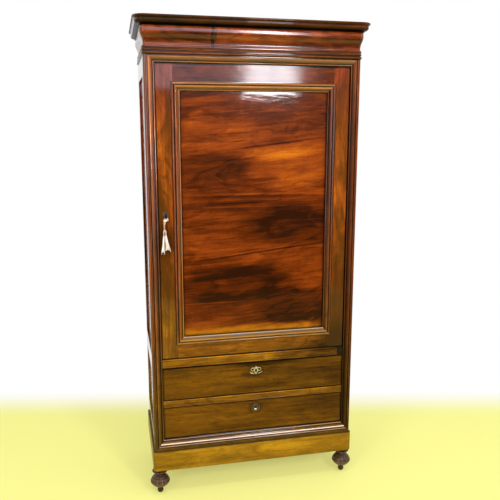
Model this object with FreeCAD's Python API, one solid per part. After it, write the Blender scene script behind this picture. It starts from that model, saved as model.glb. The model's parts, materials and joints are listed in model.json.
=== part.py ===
"""Bonnetiere cabinet: one tall panelled door over two long drawers, on turned feet.

Millimetres, +Z up, the front towards -Y. Everything is drawn with y = 0 on the front
plane of the corner posts and y growing towards the back. save() then moves it, so the
origin lies on the floor under the middle of the whole cabinet.
"""
import FreeCAD, Part
import math
import os
from FreeCAD import Vector

os.makedirs("parts", exist_ok=True)

# ---------------------------------------------------------------- overall sizes
carcase_width = 932.0
carcase_depth = 450.0
foot_height = 129.0
plinth_height = 93.0
bottom_rail_height = 54.5
lower_drawer_opening = 149.5
drawer_rail_height = 32.5
upper_drawer_opening = 155.0
sill_rail_height = 40.0
door_opening = 1268.5
top_rail_height = 30.0
necking_height = 29.0
frieze_height = 83.0
cap_height = 36.0
cap_overhang = 38.0
cornice_board_thickness = 22.0

# ---------------------------------------------------------------- carcase pieces
post_width = 45.0
post_depth = 32.0
post_corner_radius = 12.0
corner_bead_width = 4.6        # strip between the two quirks beside the frame moulding
quirk_width = 1.3
quirk_depth = 1.3
back_post_depth = 45.0
frame_moulding_width = 29.0
frame_moulding_depth = 11.0
bottom_bead_width = 11.0       # one more bead along the foot of the frame moulding
field_recess = 10.0            # door face and drawer fronts lie this far behind the posts
rail_bead_radius = 3.0
rail_bead_proud = 1.5
side_thickness = 22.0
side_rail_height = 80.0
side_panel_thickness = 9.0
side_panel_setback = 8.0
groove_depth = 8.0
tenon_length = 25.0
tenon_thickness = 10.0
tenon_shoulder = 6.0
board_thickness = 18.0
back_board_thickness = 12.0
back_board_count = 4
back_board_gap = 0.6
runner_height = 22.0
runner_width = 40.0
guide_height = 14.0
shelf_count = 3
shelf_thickness = 18.0
cleat_height = 30.0
cleat_thickness = 18.0
stop_size = 12.0

# ---------------------------------------------------------------- plinth and feet
plinth_proud = 7.0
plinth_thickness = 22.0
plinth_edge_radius = 5.0
foot_block_size = 85.0
foot_block_height = 45.0
foot_inset = 22.4              # from the carcase corner's side face to the foot's axis
foot_setback = 42.0            # from the front plane to the front feet's axis
foot_back_inset = 68.0         # the back feet stand further in
foot_back_setback = 50.0       # from the back to the back feet's axis
foot_radius = 45.0
foot_tenon_radius = 12.0
foot_tenon_length = 30.0

# ---------------------------------------------------------------- door
door_thickness = 24.0
door_side_gap = 1.0
door_top_gap = 2.5
door_bottom_gap = 2.0
door_stile_width = 71.0
door_top_rail = 78.5
door_bottom_rail = 71.5
door_moulding_width = 38.0
door_moulding_proud = 7.0
door_moulding_lap = 9.0        # how far the moulding lies over the stiles and rails
door_panel_thickness = 10.0
door_panel_recess = 9.0        # panel face behind the door face

# ---------------------------------------------------------------- pivot hinge
pivot_edge_distance = 12.0     # pin axis to the door's hinge edge
pivot_face_distance = 6.0      # pin axis behind the door's face
pivot_pin_radius = 4.0
pivot_collar_radius = 7.0
pivot_pin_length = 14.0
pivot_plate_thickness = 3.0
pivot_plate_width = 20.0
pivot_plate_length = 48.0
pivot_shoe_inset = 3.0         # shoe's end from the door's hinge edge
pivot_apron_height = 38.0      # the lower plate's leaf on the sill rail's face
pivot_apron_width = 26.0
pivot_apron_thickness = 2.0
pivot_running_gap = 0.05

# ---------------------------------------------------------------- door lock and key
key_height = 1297.0
key_inset = 29.5               # shank axis from the door's free edge
key_shank_radius = 3.0
key_shank_front = 22.0         # bare shank in front of the door's face
key_collar = 1.2               # rim of the collar behind the bow
key_collar_length = 3.0
key_bow_length = 20.0
key_bow_height = 30.0
key_bow_thickness = 3.5
key_bow_rim = 4.0
key_bit_length = 9.5
key_bit_width = 2.5
key_bit_depth = 5.0
keyhole_radius = 4.0
keyhole_slot_width = 3.6
keyhole_slot_length = 12.0
ring_width = 24.0
ring_height = 31.0
ring_thickness = 2.0
lock_width = 50.0
lock_height = 64.0
lock_thickness = 12.0
lock_wall = 1.5
lock_setback = 5.0             # lock case behind the door's face
lock_drop = 8.0                # lock case's middle below the key
face_plate_reach = 14.0        # lock's face plate beyond the case, above and below
bolt_throw = 9.0
bolt_height = 12.0
bolt_thickness = 6.0
bit_clearance = 0.5            # between the key's bit and the top of the bolt
lug_offset = 3.4
lug_width = 3.0
slack = 0.3                    # clearance round loose and sliding metal pieces
strike_thickness = 1.5
strike_height = 60.0
strike_width = 16.0

# ---------------------------------------------------------------- tassel
tassel_top = 1257.0
cord_spread = 1.6              # each strand of the cord from the tassel's middle
cord_buried = 3.0              # cord inside the tassel's neck
tassel_bottom = 1134.0
tassel_neck_radius = 3.2
tassel_head_radius = 6.5
tassel_skirt_width = 42.0
tassel_skirt_depth = 10.0
tassel_gap = 0.5               # between the cord and the key's collar
tassel_lock_length = 78.0
tassel_lock_root = 6.5         # half the width of both locks at the knot
cord_radius = 1.5

# ---------------------------------------------------------------- drawers
drawer_gap = 1.2
drawer_front_thickness = 22.0
drawer_side_thickness = 12.0
drawer_back_thickness = 10.0
drawer_bottom_thickness = 6.0
drawer_bottom_lift = 8.0
drawer_side_drop = 10.0        # sides stand this much lower than the front
drawer_back_clearance = 43.0   # behind the drawers, in front of the back boards
drawer_groove = 5.0
drawer_bead_width = 4.0
drawer_bead_quirk = 1.0
dovetail_count = 3
dovetail_share = 0.6           # a tail's narrow end as a part of the pitch
dovetail_lap = 12.0
dovetail_flare = 4.0
upper_keyhole_x = 4.0          # each keyhole sits a little off the middle
lower_keyhole_x = 2.0
upper_keyhole_drop = 41.5      # keyhole below the drawer front's top edge
lower_keyhole_drop = 35.0
drawer_lock_width = 60.0
drawer_lock_height = 60.0
drawer_lock_thickness = 12.0
drawer_bolt_width = 20.0
drawer_bolt_height = 14.0
drawer_bolt_thickness = 5.0
drawer_bolt_throw = 8.0
drawer_pin_radius = 1.2
plate_thickness = 1.5
round_plate_radius = 21.0
round_plate_rim = 3.5
scroll_offset = 16.0           # middle of each scroll from the keyhole
scroll_lift = 5.0
scroll_radius = 9.0
scroll_eye_radius = 5.0
oval_half_width = 9.0
oval_half_height = 18.0
screw_head_radius = 3.5
screw_head_height = 1.2
screw_shank_radius = 1.6
screw_length = 14.0
screw_inset = 8.0              # screw's axis from the end of its plate

# ---------------------------------------------------------------- levels and lines
half_width = carcase_width / 2
opening_half = half_width - post_width
carcase_bottom = foot_height + plinth_height
lower_opening_bottom = carcase_bottom + bottom_rail_height
lower_opening_top = lower_opening_bottom + lower_drawer_opening
upper_opening_bottom = lower_opening_top + drawer_rail_height
upper_opening_top = upper_opening_bottom + upper_drawer_opening
door_opening_bottom = upper_opening_top + sill_rail_height
door_opening_top = door_opening_bottom + door_opening
carcase_top_z = door_opening_top + top_rail_height
necking_top = carcase_top_z + necking_height
frieze_top = necking_top + frieze_height
cabinet_top = frieze_top + cap_height
back_inner = carcase_depth - back_board_thickness
side_inner = half_width - side_thickness
moulding_top = door_opening_top + frame_moulding_width
moulding_low = lower_opening_bottom - frame_moulding_width - bottom_bead_width
corner_x = half_width - post_corner_radius
corner_y = post_corner_radius
front_shift = -(carcase_depth - cap_overhang) / 2
far = 4000.0                   # longer than any piece, for cutting tools


# ---------------------------------------------------------------- drawing helpers
def box(x0, x1, y0, y1, z0, z1):
    return Part.makeBox(x1 - x0, y1 - y0, z1 - z0, Vector(x0, y0, z0))


def cylinder(radius, start, end):
    line = Vector(*end) - Vector(*start)
    return Part.makeCylinder(radius, line.Length, Vector(*start), line)


def mirrored(shape):
    return shape.mirror(Vector(0, 0, 0), Vector(1, 0, 0))


def outline(place, start, *steps):
    """A closed face. Each step is a point, or a pair of points for an arc through the first."""
    edges = []
    here = start
    for step in steps + (start,):
        if isinstance(step[0], tuple):
            through, there = step
            edges.append(Part.Arc(place(*here), place(*through), place(*there)).toShape())
        else:
            there = step
            if place(*here).distanceToPoint(place(*there)) > 1e-6:
                edges.append(Part.LineSegment(place(*here), place(*there)).toShape())
        here = there
    return Part.Face(Part.Wire(edges))


def fused(shapes):
    whole = shapes[0].multiFuse(shapes[1:]) if len(shapes) > 1 else shapes[0]
    return whole.removeSplitter()


def prism(corners, z0, z1):
    """An upright prism over plan corners (x, y)."""
    face = outline(lambda x, y: Vector(x, y, z0), *corners)
    return face.extrude(Vector(0, 0, z1 - z0))


def front_prism(corners, y0, y1):
    """A prism along y over elevation corners (x, z)."""
    face = outline(lambda x, z: Vector(x, y0, z), *corners)
    return face.extrude(Vector(0, y1 - y0, 0))


def turned(profile, x, y, z):
    """A turned solid on the upright axis at (x, y); the profile is (radius, height)."""
    face = outline(lambda r, h: Vector(x + r, y, z + h), *profile)
    return face.revolve(Vector(x, y, z), Vector(0, 0, 1), 360)


def mitred_frame(profile, x0, x1, z0, z1, width, foot_profile=None, foot_width=None):
    """Four mitred lengths inside an upright rectangle; the profile is (inward, y).

    The bottom length may have a wider profile of its own, and its mitres then slant.
    """
    y_low, y_high = -100.0, 100.0
    foot_profile = foot_profile or profile
    foot = foot_width or width
    lengths = {
        "left": (lambda u, y: Vector(x0 + u, y, z0), Vector(0, 0, z1 - z0)),
        "right": (lambda u, y: Vector(x1 - u, y, z0), Vector(0, 0, z1 - z0)),
        "bottom": (lambda u, y: Vector(x0, y, z0 + u), Vector(x1 - x0, 0, 0)),
        "top": (lambda u, y: Vector(x0, y, z1 - u), Vector(x1 - x0, 0, 0)),
    }
    mitres = {
        "left": [(x0, z0), (x0 + width, z0 + foot), (x0 + width, z1 - width), (x0, z1)],
        "right": [(x1, z0), (x1, z1), (x1 - width, z1 - width), (x1 - width, z0 + foot)],
        "bottom": [(x0, z0), (x1, z0), (x1 - width, z0 + foot), (x0 + width, z0 + foot)],
        "top": [(x0, z1), (x0 + width, z1 - width), (x1 - width, z1 - width), (x1, z1)],
    }
    pieces = {}
    for side, (place, run) in lengths.items():
        section = foot_profile if side == "bottom" else profile
        bar = outline(place, *section).extrude(run)
        pieces[side] = bar.common(front_prism(mitres[side], y_low, y_high))
    return pieces


def placed(profile, across, along, base):
    """An outline stretched by the two factors and moved up to its base."""
    def move(point):
        return point[0] * across, base + point[1] * along
    return [tuple(move(point) for point in step) if isinstance(step[0], tuple) else move(step)
            for step in profile]


def wrapped(profile, back):
    """A moulding round the front and both sides, with rounded front corners.

    The profile is (out, height), where out is measured from the carcase's faces. It ends
    on the corner's centre line, so the part behind that is left to the boards.
    """
    def across(out, z):
        return Vector(-corner_x, corner_y - post_corner_radius - out, z)

    def along(out, z):
        return Vector(corner_x + post_corner_radius + out, corner_y, z)

    straight = outline(across, *profile).extrude(Vector(2 * corner_x, 0, 0))
    side = outline(along, *profile)
    right = side.extrude(Vector(0, back - corner_y, 0))
    corner = side.revolve(Vector(corner_x, corner_y, 0), Vector(0, 0, 1), -90)
    return [straight, right, corner, mirrored(right), mirrored(corner)]


def mitre_front(z0, z1, inward):
    """The plan region in front of the two mitres at the cabinet's front corners."""
    outer = 200.0
    corners = [(corner_x + outer, corner_y - outer), (corner_x - inward, corner_y + inward),
               (inward - corner_x, corner_y + inward), (-corner_x - outer, corner_y - outer)]
    return prism(corners, z0, z1)


def three_sides(profile, back, thickness, z0, z1):
    """A wrapped moulding on boards of the given thickness, cut apart at its mitres."""
    inner = thickness - post_corner_radius
    boards = [box(-corner_x, corner_x, corner_y, corner_y + inner, z0, z1)]
    wall = box(corner_x - inner, corner_x, corner_y, back, z0, z1)
    whole = fused(wrapped(profile, back) + boards + [wall, mirrored(wall)])
    region = mitre_front(z0 - 1, z1 + 1, inner + 1)
    front = whole.common(region)
    rest = whole.cut(region)
    right = rest.common(box(0, far, -far, far, z0 - 1, z1 + 1))
    return front, mirrored(right), right


def save(node, *shapes):
    """Write one node, moved from the front plane to the cabinet's middle."""
    solids = []
    for shape in shapes:
        solids += shape.Solids
    moved = Part.makeCompound(solids) if len(solids) > 1 else solids[0]
    moved = moved.copy()
    moved.translate(Vector(0, front_shift, 0))
    moved.exportStep("parts/" + node + ".step")
    if not moved.isValid():
        print("not valid:", node)


# ---------------------------------------------------------------- cornice
def cap_profile():
    """Fillet, thumb moulding, quirk and projecting lip, drawn 38 wide and 36 high."""
    profile = [(14, 0), (14, 5), (18, 5), ((27, 9), (31, 20)), (31, 24), ((33, 28), (38, 30)),
               (38, 34.5), (36.5, 36)]
    shaped = placed(profile, cap_overhang / 38, cap_height / 36, frieze_top)
    return [(-post_corner_radius, frieze_top)] + shaped + [(-post_corner_radius, cabinet_top)]


def frieze_profile():
    """A doucine, drawn 83 high: a lip and cove at the foot, then a swelling belly."""
    profile = [(3.5, 0), (3.5, 3), ((-1, 8), (-2.5, 17)), ((-0.5, 30), (4, 42)),
               ((9.3, 57), (10, 69)), ((9.2, 78), (7.5, 83))]
    shaped = placed(profile, 1, frieze_height / 83, necking_top)
    return [(-post_corner_radius, necking_top)] + shaped + [(-post_corner_radius, frieze_top)]


def necking_profile():
    """Two beads and fillets between the frame and the frieze, drawn 29 high."""
    profile = [(1.5, 0), (1.5, 3.2), ((5.6, 7), (1.5, 10.8)), (0.5, 12), (0.5, 15.5),
               ((4, 19), (1.5, 22)), (1.5, 29)]
    shaped = placed(profile, 1, necking_height / 29, carcase_top_z)
    return [(-post_corner_radius, carcase_top_z)] + shaped + [(-post_corner_radius, necking_top)]


def make_cornice():
    cap_inside = box(-corner_x, corner_x, corner_y, carcase_depth, frieze_top, cabinet_top)
    save("cornice_cap", fused(wrapped(cap_profile(), carcase_depth) + [cap_inside]))
    front, left, right = three_sides(frieze_profile(), carcase_depth, cornice_board_thickness,
                                     necking_top, frieze_top)
    save("frieze_front", front)
    save("frieze_sides", left, right)
    save("necking_mouldings", *three_sides(necking_profile(), carcase_depth, cornice_board_thickness,
                                           carcase_top_z, necking_top))
    rail_half = half_width - cornice_board_thickness
    save("cornice_back_rail", box(-rail_half, rail_half, carcase_depth - cornice_board_thickness,
                                  carcase_depth, carcase_top_z, frieze_top))


# ---------------------------------------------------------------- carcase frame
def front_rail(z0, z1, front, beads):
    """A rail between the posts, tenoned into both, with beads along the named edges."""
    rail = box(-opening_half, opening_half, front, post_depth, z0, z1)
    tenon_z0 = z0 + tenon_shoulder
    tenon_z1 = z1 - tenon_shoulder
    tenon_y0 = (frame_moulding_depth + post_depth - tenon_thickness) / 2
    reach = opening_half + tenon_length
    tenon = box(-reach, reach, tenon_y0, tenon_y0 + tenon_thickness, tenon_z0, tenon_z1)
    pieces = [rail, tenon]
    for z in beads:
        start = (-opening_half, front + rail_bead_radius - rail_bead_proud, z)
        end = (opening_half, front + rail_bead_radius - rail_bead_proud, z)
        pieces.append(cylinder(rail_bead_radius, start, end))
    return fused(pieces)


def frame_moulding_profile(extra):
    """Swelling ovolo, falling hollow and inner bead, drawn 29 wide and 11 deep.

    A length with extra width has one more bead at its outer edge.
    """
    profile = [(0, 1.2), (1.2, 1.2), (1.2, 2.6), ((4.8, -0.6), (10, 1.0)), ((14, 3.6), (17.5, 6.4)),
               ((19.2, 7.2), (21, 7.4)), (21.8, 8.8), ((24.8, 4.9), (27.8, 8.2)), (29, 9.4), (29, 11)]
    deep = frame_moulding_depth / 11
    shaped = [(u + extra, y) if not isinstance(u, tuple) else ((u[0] + extra, u[1]), (y[0] + extra, y[1]))
              for u, y in placed(profile, frame_moulding_width / 29, deep, 0)]
    outer = [(0, frame_moulding_depth), (0, 1.2 * deep)]
    if extra:
        outer += [(1.6, 1.2 * deep), ((extra / 2 + 0.8, -0.8 * deep), (extra, 1.8 * deep))]
    return outer + shaped


def corner_waste():
    """What is planed off the right front corner to round it."""
    waste = box(corner_x, half_width + 1, -1, corner_y, carcase_bottom, carcase_top_z)
    return waste.cut(cylinder(post_corner_radius, (corner_x, corner_y, carcase_bottom),
                              (corner_x, corner_y, carcase_top_z)))


def front_post():
    """The right front post: rounded corner, corner bead, rebate for the frame moulding."""
    post = box(opening_half, half_width, 0, post_depth, carcase_bottom, carcase_top_z)
    post = post.cut(corner_waste())
    rebate_x = opening_half + frame_moulding_width
    post = post.cut(box(opening_half - 1, rebate_x, -1, frame_moulding_depth, moulding_low, moulding_top))
    for x in (rebate_x, rebate_x + corner_bead_width):
        post = post.cut(box(x, x + quirk_width, -1, quirk_depth, carcase_bottom, carcase_top_z))
    return post


def side_frame(post):
    """The right side between its posts: rails, panels, back post, and the grooved front post."""
    x0 = side_inner
    x1 = half_width
    y0 = post_depth
    y1 = carcase_depth - back_post_depth
    tenon_x0 = x0 + (side_thickness - tenon_thickness) / 2
    tenon_x1 = tenon_x0 + tenon_thickness
    rebate_x = opening_half + tenon_thickness
    back_post = box(opening_half, x1, y1, carcase_depth, carcase_bottom, carcase_top_z)
    back_post = back_post.cut(box(opening_half - 1, rebate_x, back_inner, carcase_depth + 1,
                                  carcase_bottom, carcase_top_z))
    middle = (door_opening_bottom + upper_opening_top) / 2
    rail_levels = [(carcase_bottom, carcase_bottom + side_rail_height),
                   (middle - side_rail_height / 2, middle + side_rail_height / 2),
                   (carcase_top_z - side_rail_height, carcase_top_z)]
    rails = []
    for z0, z1 in rail_levels:
        rail = box(x0, x1, y0, y1, z0, z1)
        tenon = box(tenon_x0, tenon_x1, y0 - tenon_length / 2, y1 + tenon_length, z0 + 2 * tenon_shoulder,
                    z1 - 2 * tenon_shoulder)
        rails.append(rail.fuse(tenon).removeSplitter())
    panel_x1 = x1 - side_panel_setback
    panels = []
    for lower, upper in zip(rail_levels, rail_levels[1:]):
        panels.append(box(panel_x1 - side_panel_thickness, panel_x1, y0 - groove_depth, y1 + groove_depth,
                          lower[1] - groove_depth, upper[0] + groove_depth))
    for cutter in rails + panels:
        post = post.cut(cutter)
        back_post = back_post.cut(cutter)
    for panel in panels:
        rails = [rail.cut(panel) for rail in rails]
    return post, back_post, rails, panels


def foot_strip():
    """The strip under the frame moulding, mitred to the posts at both lower corners."""
    outer = opening_half + frame_moulding_width
    z0 = carcase_bottom
    strip = front_prism([(-half_width, z0), (half_width, z0), (outer, moulding_low), (-outer, moulding_low)],
                        0, frame_moulding_depth)
    return strip.cut(corner_waste()).cut(mirrored(corner_waste()))


def drawer_bolt_mortise(z, keyhole_x):
    """The slot in a rail's underside that a drawer's bolt shoots into."""
    y = field_recess + drawer_front_thickness - drawer_lock_thickness / 2
    half_w = drawer_bolt_width / 2 + slack
    half_t = drawer_bolt_thickness / 2 + slack
    return box(keyhole_x - half_w, keyhole_x + half_w, y - half_t, y + half_t, z - 1,
               z + drawer_bolt_throw + 1)


def pivot_plates():
    """Lower plate with its apron, collar and pin, and the upper plate with its pin."""
    x = pivot_x
    y = pivot_y
    x0 = opening_half - pivot_plate_length
    y0 = field_recess - pivot_apron_thickness
    y1 = y + pivot_plate_width / 2
    top = door_opening_bottom
    plate = box(x0, opening_half, y0, y1, top - pivot_plate_thickness, top)
    apron_x0 = opening_half - pivot_apron_width
    apron = box(apron_x0, opening_half, y0, field_recess, top - pivot_apron_height, top)
    collar = cylinder(pivot_collar_radius, (x, y, top), (x, y, top + door_bottom_gap))
    pin = cylinder(pivot_pin_radius, (x, y, top), (x, y, top + door_bottom_gap + pivot_pin_length))
    lower = fused([plate, apron, collar, pin])
    roof = door_opening_top
    upper_plate = box(x0, opening_half, frame_moulding_depth, y1, roof, roof + pivot_plate_thickness)
    upper_pin = cylinder(pivot_pin_radius, (x, y, roof - door_top_gap - pivot_pin_length), (x, y, roof))
    upper = fused([upper_plate, upper_pin])
    return lower, upper


def screw(x, y, z, direction):
    """A countersunk screw; the head's top is at the point, the shank runs along direction."""
    axis = Vector(*direction)
    place = Vector(x, y, z)
    head = Part.makeCone(screw_head_radius, screw_shank_radius, screw_head_height, place, axis)
    shank = Part.makeCylinder(screw_shank_radius, screw_length, place, axis)
    return head.fuse(shank).removeSplitter()


def carcase_screw_set():
    """Screws of the two pivot plates and of the strike plate."""
    screws = []
    apron_x = opening_half - pivot_apron_width / 2
    apron_face = field_recess - pivot_apron_thickness
    for drop in (screw_inset, pivot_apron_height - screw_inset):
        screws.append(screw(apron_x, apron_face, door_opening_bottom - drop, (0, 1, 0)))
    plate_x = opening_half - pivot_plate_length + screw_inset
    screws.append(screw(plate_x, pivot_y, door_opening_bottom, (0, 0, -1)))
    screws.append(screw(plate_x, pivot_y, door_opening_top, (0, 0, 1)))
    for rise in (screw_inset - strike_height / 2, strike_height / 2 - screw_inset):
        screws.append(screw(-opening_half, lock_y, lock_centre_z + rise, (-1, 0, 0)))
    return screws


def strike_plate():
    z0 = lock_centre_z - strike_height / 2
    plate = box(-opening_half - strike_thickness, -opening_half, lock_y - strike_width / 2,
                lock_y + strike_width / 2, z0, z0 + strike_height)
    return plate.cut(bolt_slot(-opening_half - bolt_throw - 1, -opening_half + 1))


def bolt_slot(x0, x1):
    half_t = bolt_thickness / 2 + slack
    half_h = bolt_height / 2 + slack
    return box(x0, x1, lock_y - half_t, lock_y + half_t, bolt_z - half_h, bolt_z + half_h)


def make_carcase():
    outer = opening_half + frame_moulding_width
    mouldings = mitred_frame(frame_moulding_profile(0), -outer, outer, moulding_low, moulding_top,
                             frame_moulding_width, frame_moulding_profile(bottom_bead_width),
                             frame_moulding_width + bottom_bead_width)
    for side, piece in mouldings.items():
        save("frame_moulding_" + side, piece)

    top_rail = front_rail(door_opening_top, carcase_top_z, 0, [])
    sill_beads = [door_opening_bottom - rail_bead_radius, upper_opening_top + rail_bead_radius]
    sill_rail = front_rail(upper_opening_top, door_opening_bottom, field_recess, sill_beads)
    rail_beads = [upper_opening_bottom - rail_bead_radius, lower_opening_top + rail_bead_radius]
    drawer_rail = front_rail(lower_opening_top, upper_opening_bottom, field_recess, rail_beads)
    bottom_rail = front_rail(carcase_bottom, lower_opening_bottom, 0, [])
    top_rail = top_rail.cut(box(-half_width, half_width, -1, frame_moulding_depth, 0, moulding_top))
    bottom_rail = bottom_rail.cut(box(-half_width, half_width, -1, frame_moulding_depth, moulding_low, far))
    bottom_rail = fused([bottom_rail, foot_strip()])

    sill_rail = sill_rail.cut(drawer_bolt_mortise(upper_opening_top, upper_keyhole_x))
    drawer_rail = drawer_rail.cut(drawer_bolt_mortise(lower_opening_top, lower_keyhole_x))
    lower_plate, upper_plate = pivot_plates()
    screws = carcase_screw_set()
    for tool in [lower_plate] + screws:
        sill_rail = sill_rail.cut(tool)
    for tool in [upper_plate] + screws:
        top_rail = top_rail.cut(tool)
    for tool in screws:
        lower_plate = lower_plate.cut(tool)
        upper_plate = upper_plate.cut(tool)

    plain_post = front_post()
    for rail in (top_rail, sill_rail, drawer_rail, bottom_rail):
        plain_post = plain_post.cut(rail)
    right_post, back_post, side_rails, side_panels = side_frame(plain_post)
    left_post = mirrored(right_post)
    right_post = right_post.cut(lower_plate).cut(upper_plate)
    strike = strike_plate()
    left_post = left_post.cut(strike).cut(bolt_slot(-opening_half - bolt_throw - 1, -opening_half + 1))
    for tool in screws:
        left_post = left_post.cut(tool)
        strike = strike.cut(tool)

    save("front_post_left", left_post)
    save("front_post_right", right_post)
    save("back_posts", mirrored(back_post), back_post)
    save("side_rails", *(side_rails + [mirrored(rail) for rail in side_rails]))
    save("side_panels", *(side_panels + [mirrored(panel) for panel in side_panels]))
    save("top_rail", top_rail)
    save("sill_rail", sill_rail)
    save("drawer_rail", drawer_rail)
    save("bottom_rail", bottom_rail)
    save("pivot_plates", lower_plate, upper_plate)
    save("strike_plate", strike)
    save("carcase_screws", *screws)


def make_inside():
    back_posts = [box(opening_half, side_inner, carcase_depth - back_post_depth, carcase_depth, 0, far)]
    back_posts.append(mirrored(back_posts[0]))

    def inner_board(z0, z1):
        board = box(-side_inner, side_inner, post_depth, back_inner, z0, z1)
        for post in back_posts:
            board = board.cut(post)
        return board

    save("carcase_top", inner_board(carcase_top_z - board_thickness, carcase_top_z))
    save("cupboard_floor", inner_board(door_opening_bottom - board_thickness, door_opening_bottom))
    save("carcase_bottom", inner_board(carcase_bottom, carcase_bottom + board_thickness))

    reach = opening_half + tenon_thickness
    width = (2 * reach - (back_board_count - 1) * back_board_gap) / back_board_count
    boards = []
    for i in range(back_board_count):
        x = -reach + i * (width + back_board_gap)
        boards.append(box(x, x + width, back_inner, carcase_depth, carcase_bottom, carcase_top_z))
    save("back_boards", *boards)

    runners = []
    runner_x0 = side_inner - runner_width
    back_stop = carcase_depth - back_post_depth
    guide_x0 = opening_half
    lower_base = carcase_bottom + board_thickness
    for level, base in ((lower_opening_bottom, lower_base),
                        (upper_opening_bottom, upper_opening_bottom - runner_height)):
        runners.append(box(runner_x0, side_inner, post_depth, back_stop, base, level))
        runners.append(box(guide_x0, side_inner, post_depth, back_stop, level, level + guide_height))
    save("drawer_runners", *(runners + [mirrored(runner) for runner in runners]))

    spacing = (carcase_top_z - board_thickness - door_opening_bottom) / (shelf_count + 1)
    shelves = []
    cleats = []
    shelf_y0 = post_depth + 2 * stop_size
    for i in range(shelf_count):
        z = door_opening_bottom + spacing * (i + 1)
        shelf = box(-side_inner, side_inner, shelf_y0, back_inner, z - shelf_thickness, z)
        for post in back_posts:
            shelf = shelf.cut(post)
        shelves.append(shelf)
        cleat = box(side_inner - cleat_thickness, side_inner, shelf_y0, back_stop,
                    z - shelf_thickness - cleat_height, z - shelf_thickness)
        cleats += [cleat, mirrored(cleat)]
    save("shelves", *shelves)
    save("shelf_cleats", *cleats)

    stop_y = field_recess + door_thickness + slack
    stop_left = box(-side_inner, stop_size - opening_half, stop_y, stop_y + stop_size,
                    door_opening_bottom, carcase_top_z - board_thickness)
    stop_end = pivot_x - pivot_edge_distance - stop_size
    stop_top = box(stop_size - opening_half, stop_end, stop_y, stop_y + stop_size,
                   door_opening_top - stop_size, carcase_top_z - board_thickness)
    save("door_stops", stop_left, stop_top)


# ---------------------------------------------------------------- plinth and feet
def plinth_profile(z0, z1):
    proud = plinth_proud
    r = plinth_edge_radius
    bend = r * (1 - math.cos(math.pi / 4))
    return [(-post_corner_radius, z0), (proud, z0), (proud, z1 - r),
            ((proud - bend, z1 - bend), (proud - r, z1)), (-post_corner_radius, z1)]


def foot_centres():
    front = foot_setback
    back = carcase_depth - foot_back_setback
    x = half_width - foot_inset
    back_x = half_width - foot_back_inset
    return [(-x, front), (x, front), (-back_x, back), (back_x, back)]


def foot_profile():
    """Pad ball, neck, flattened bulb, neck, collar and top disc, drawn 45 round and 129 high."""
    profile = [(0, 0), (9, 0), ((14.5, 12), (11.5, 23)), (13, 26), (20, 29), ((36, 42), (45, 57)),
               ((39.5, 74), (21.5, 92)), ((18.5, 98), (21, 104)), (33, 105), ((36, 109), (33, 113)),
               (29, 115), ((28, 117), (30, 119)), (38, 121), (38, 129)]
    tenon_top = foot_height + foot_tenon_length
    shaped = placed(profile, foot_radius / 45, foot_height / 129, 0)
    return shaped + [(foot_tenon_radius, foot_height), (foot_tenon_radius, tenon_top), (0, tenon_top)]


def make_base():
    z0 = foot_height
    z1 = carcase_bottom
    front, left, right = three_sides(plinth_profile(z0, z1), carcase_depth, plinth_thickness, z0, z1)
    inner_half = half_width - plinth_thickness
    inner_back = carcase_depth - plinth_thickness
    back = box(-inner_half, inner_half, inner_back, carcase_depth, z0, z1)
    feet = [turned(foot_profile(), x, y, 0) for x, y in foot_centres()]
    for foot in feet:
        left = left.cut(foot)
        right = right.cut(foot)
        back = back.cut(foot)
    save("plinth_front", front)
    save("plinth_sides", left, right)
    save("plinth_back", back)
    blocks = []
    for x, y in foot_centres():
        x0 = inner_half - foot_block_size if x > 0 else -inner_half
        y0 = plinth_thickness if y < carcase_depth / 2 else inner_back - foot_block_size
        block = box(x0, x0 + foot_block_size, y0, y0 + foot_block_size, z0, z0 + foot_block_height)
        blocks.append(block)
    blocks = [block.cut(foot) for block, foot in zip(blocks, feet)]
    save("foot_blocks", *blocks)
    save("feet", *feet)


# ---------------------------------------------------------------- door
pivot_x = opening_half - door_side_gap - pivot_edge_distance
pivot_y = field_recess + pivot_face_distance
door_half = opening_half - door_side_gap
door_bottom = door_opening_bottom + door_bottom_gap
door_top = door_opening_top - door_top_gap
door_back = field_recess + door_thickness
key_x = key_inset - door_half
lock_y = field_recess + lock_setback + lock_thickness / 2
lock_centre_z = key_height - lock_drop
bolt_z = key_height - key_bit_length - bit_clearance - bolt_height / 2
tassel_y = field_recess - key_shank_front - 1 + key_collar_length + tassel_gap + cord_radius


def keyhole(x, z, y0, y1):
    """A keyhole cutter: a round eye over a slot."""
    eye = cylinder(keyhole_radius, (x, y0, z), (x, y1, z))
    slot = box(x - keyhole_slot_width / 2, x + keyhole_slot_width / 2, y0, y1, z - keyhole_slot_length, z)
    return eye.fuse(slot)


def lock_case(x0, x1, z0, z1, y0, y1):
    """A hollow iron case, open to nothing but its slots."""
    shell = box(x0, x1, y0, y1, z0, z1)
    return shell.cut(box(x0 + lock_wall, x1 - lock_wall, y0 + lock_wall, y1 - lock_wall,
                         z0 + lock_wall, z1 - lock_wall))


def door_moulding_profile():
    """Lapping bead, quirk, ovolo, falling hollow and inner bead, drawn 38 wide and 16 deep."""
    profile = [(0, 5.8), (2.4, 5.8), ((7.4, 1.2), (12.4, 5.4)), (14.2, 5.8), (14.8, 2.8),
               ((20, 0), (24.4, 3.0)), ((27.4, 6.8), (31, 9)), (31.6, 10.6), ((34.2, 8.2), (36.8, 10.6)),
               (38, 14), (38, 16)]
    crest = field_recess - door_moulding_proud
    seat = field_recess + door_panel_recess
    shaped = placed(profile, door_moulding_width / 38, (seat - crest) / 16, crest)
    return [(0, field_recess)] + shaped + [(door_moulding_lap, seat), (door_moulding_lap, field_recess)]


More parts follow.
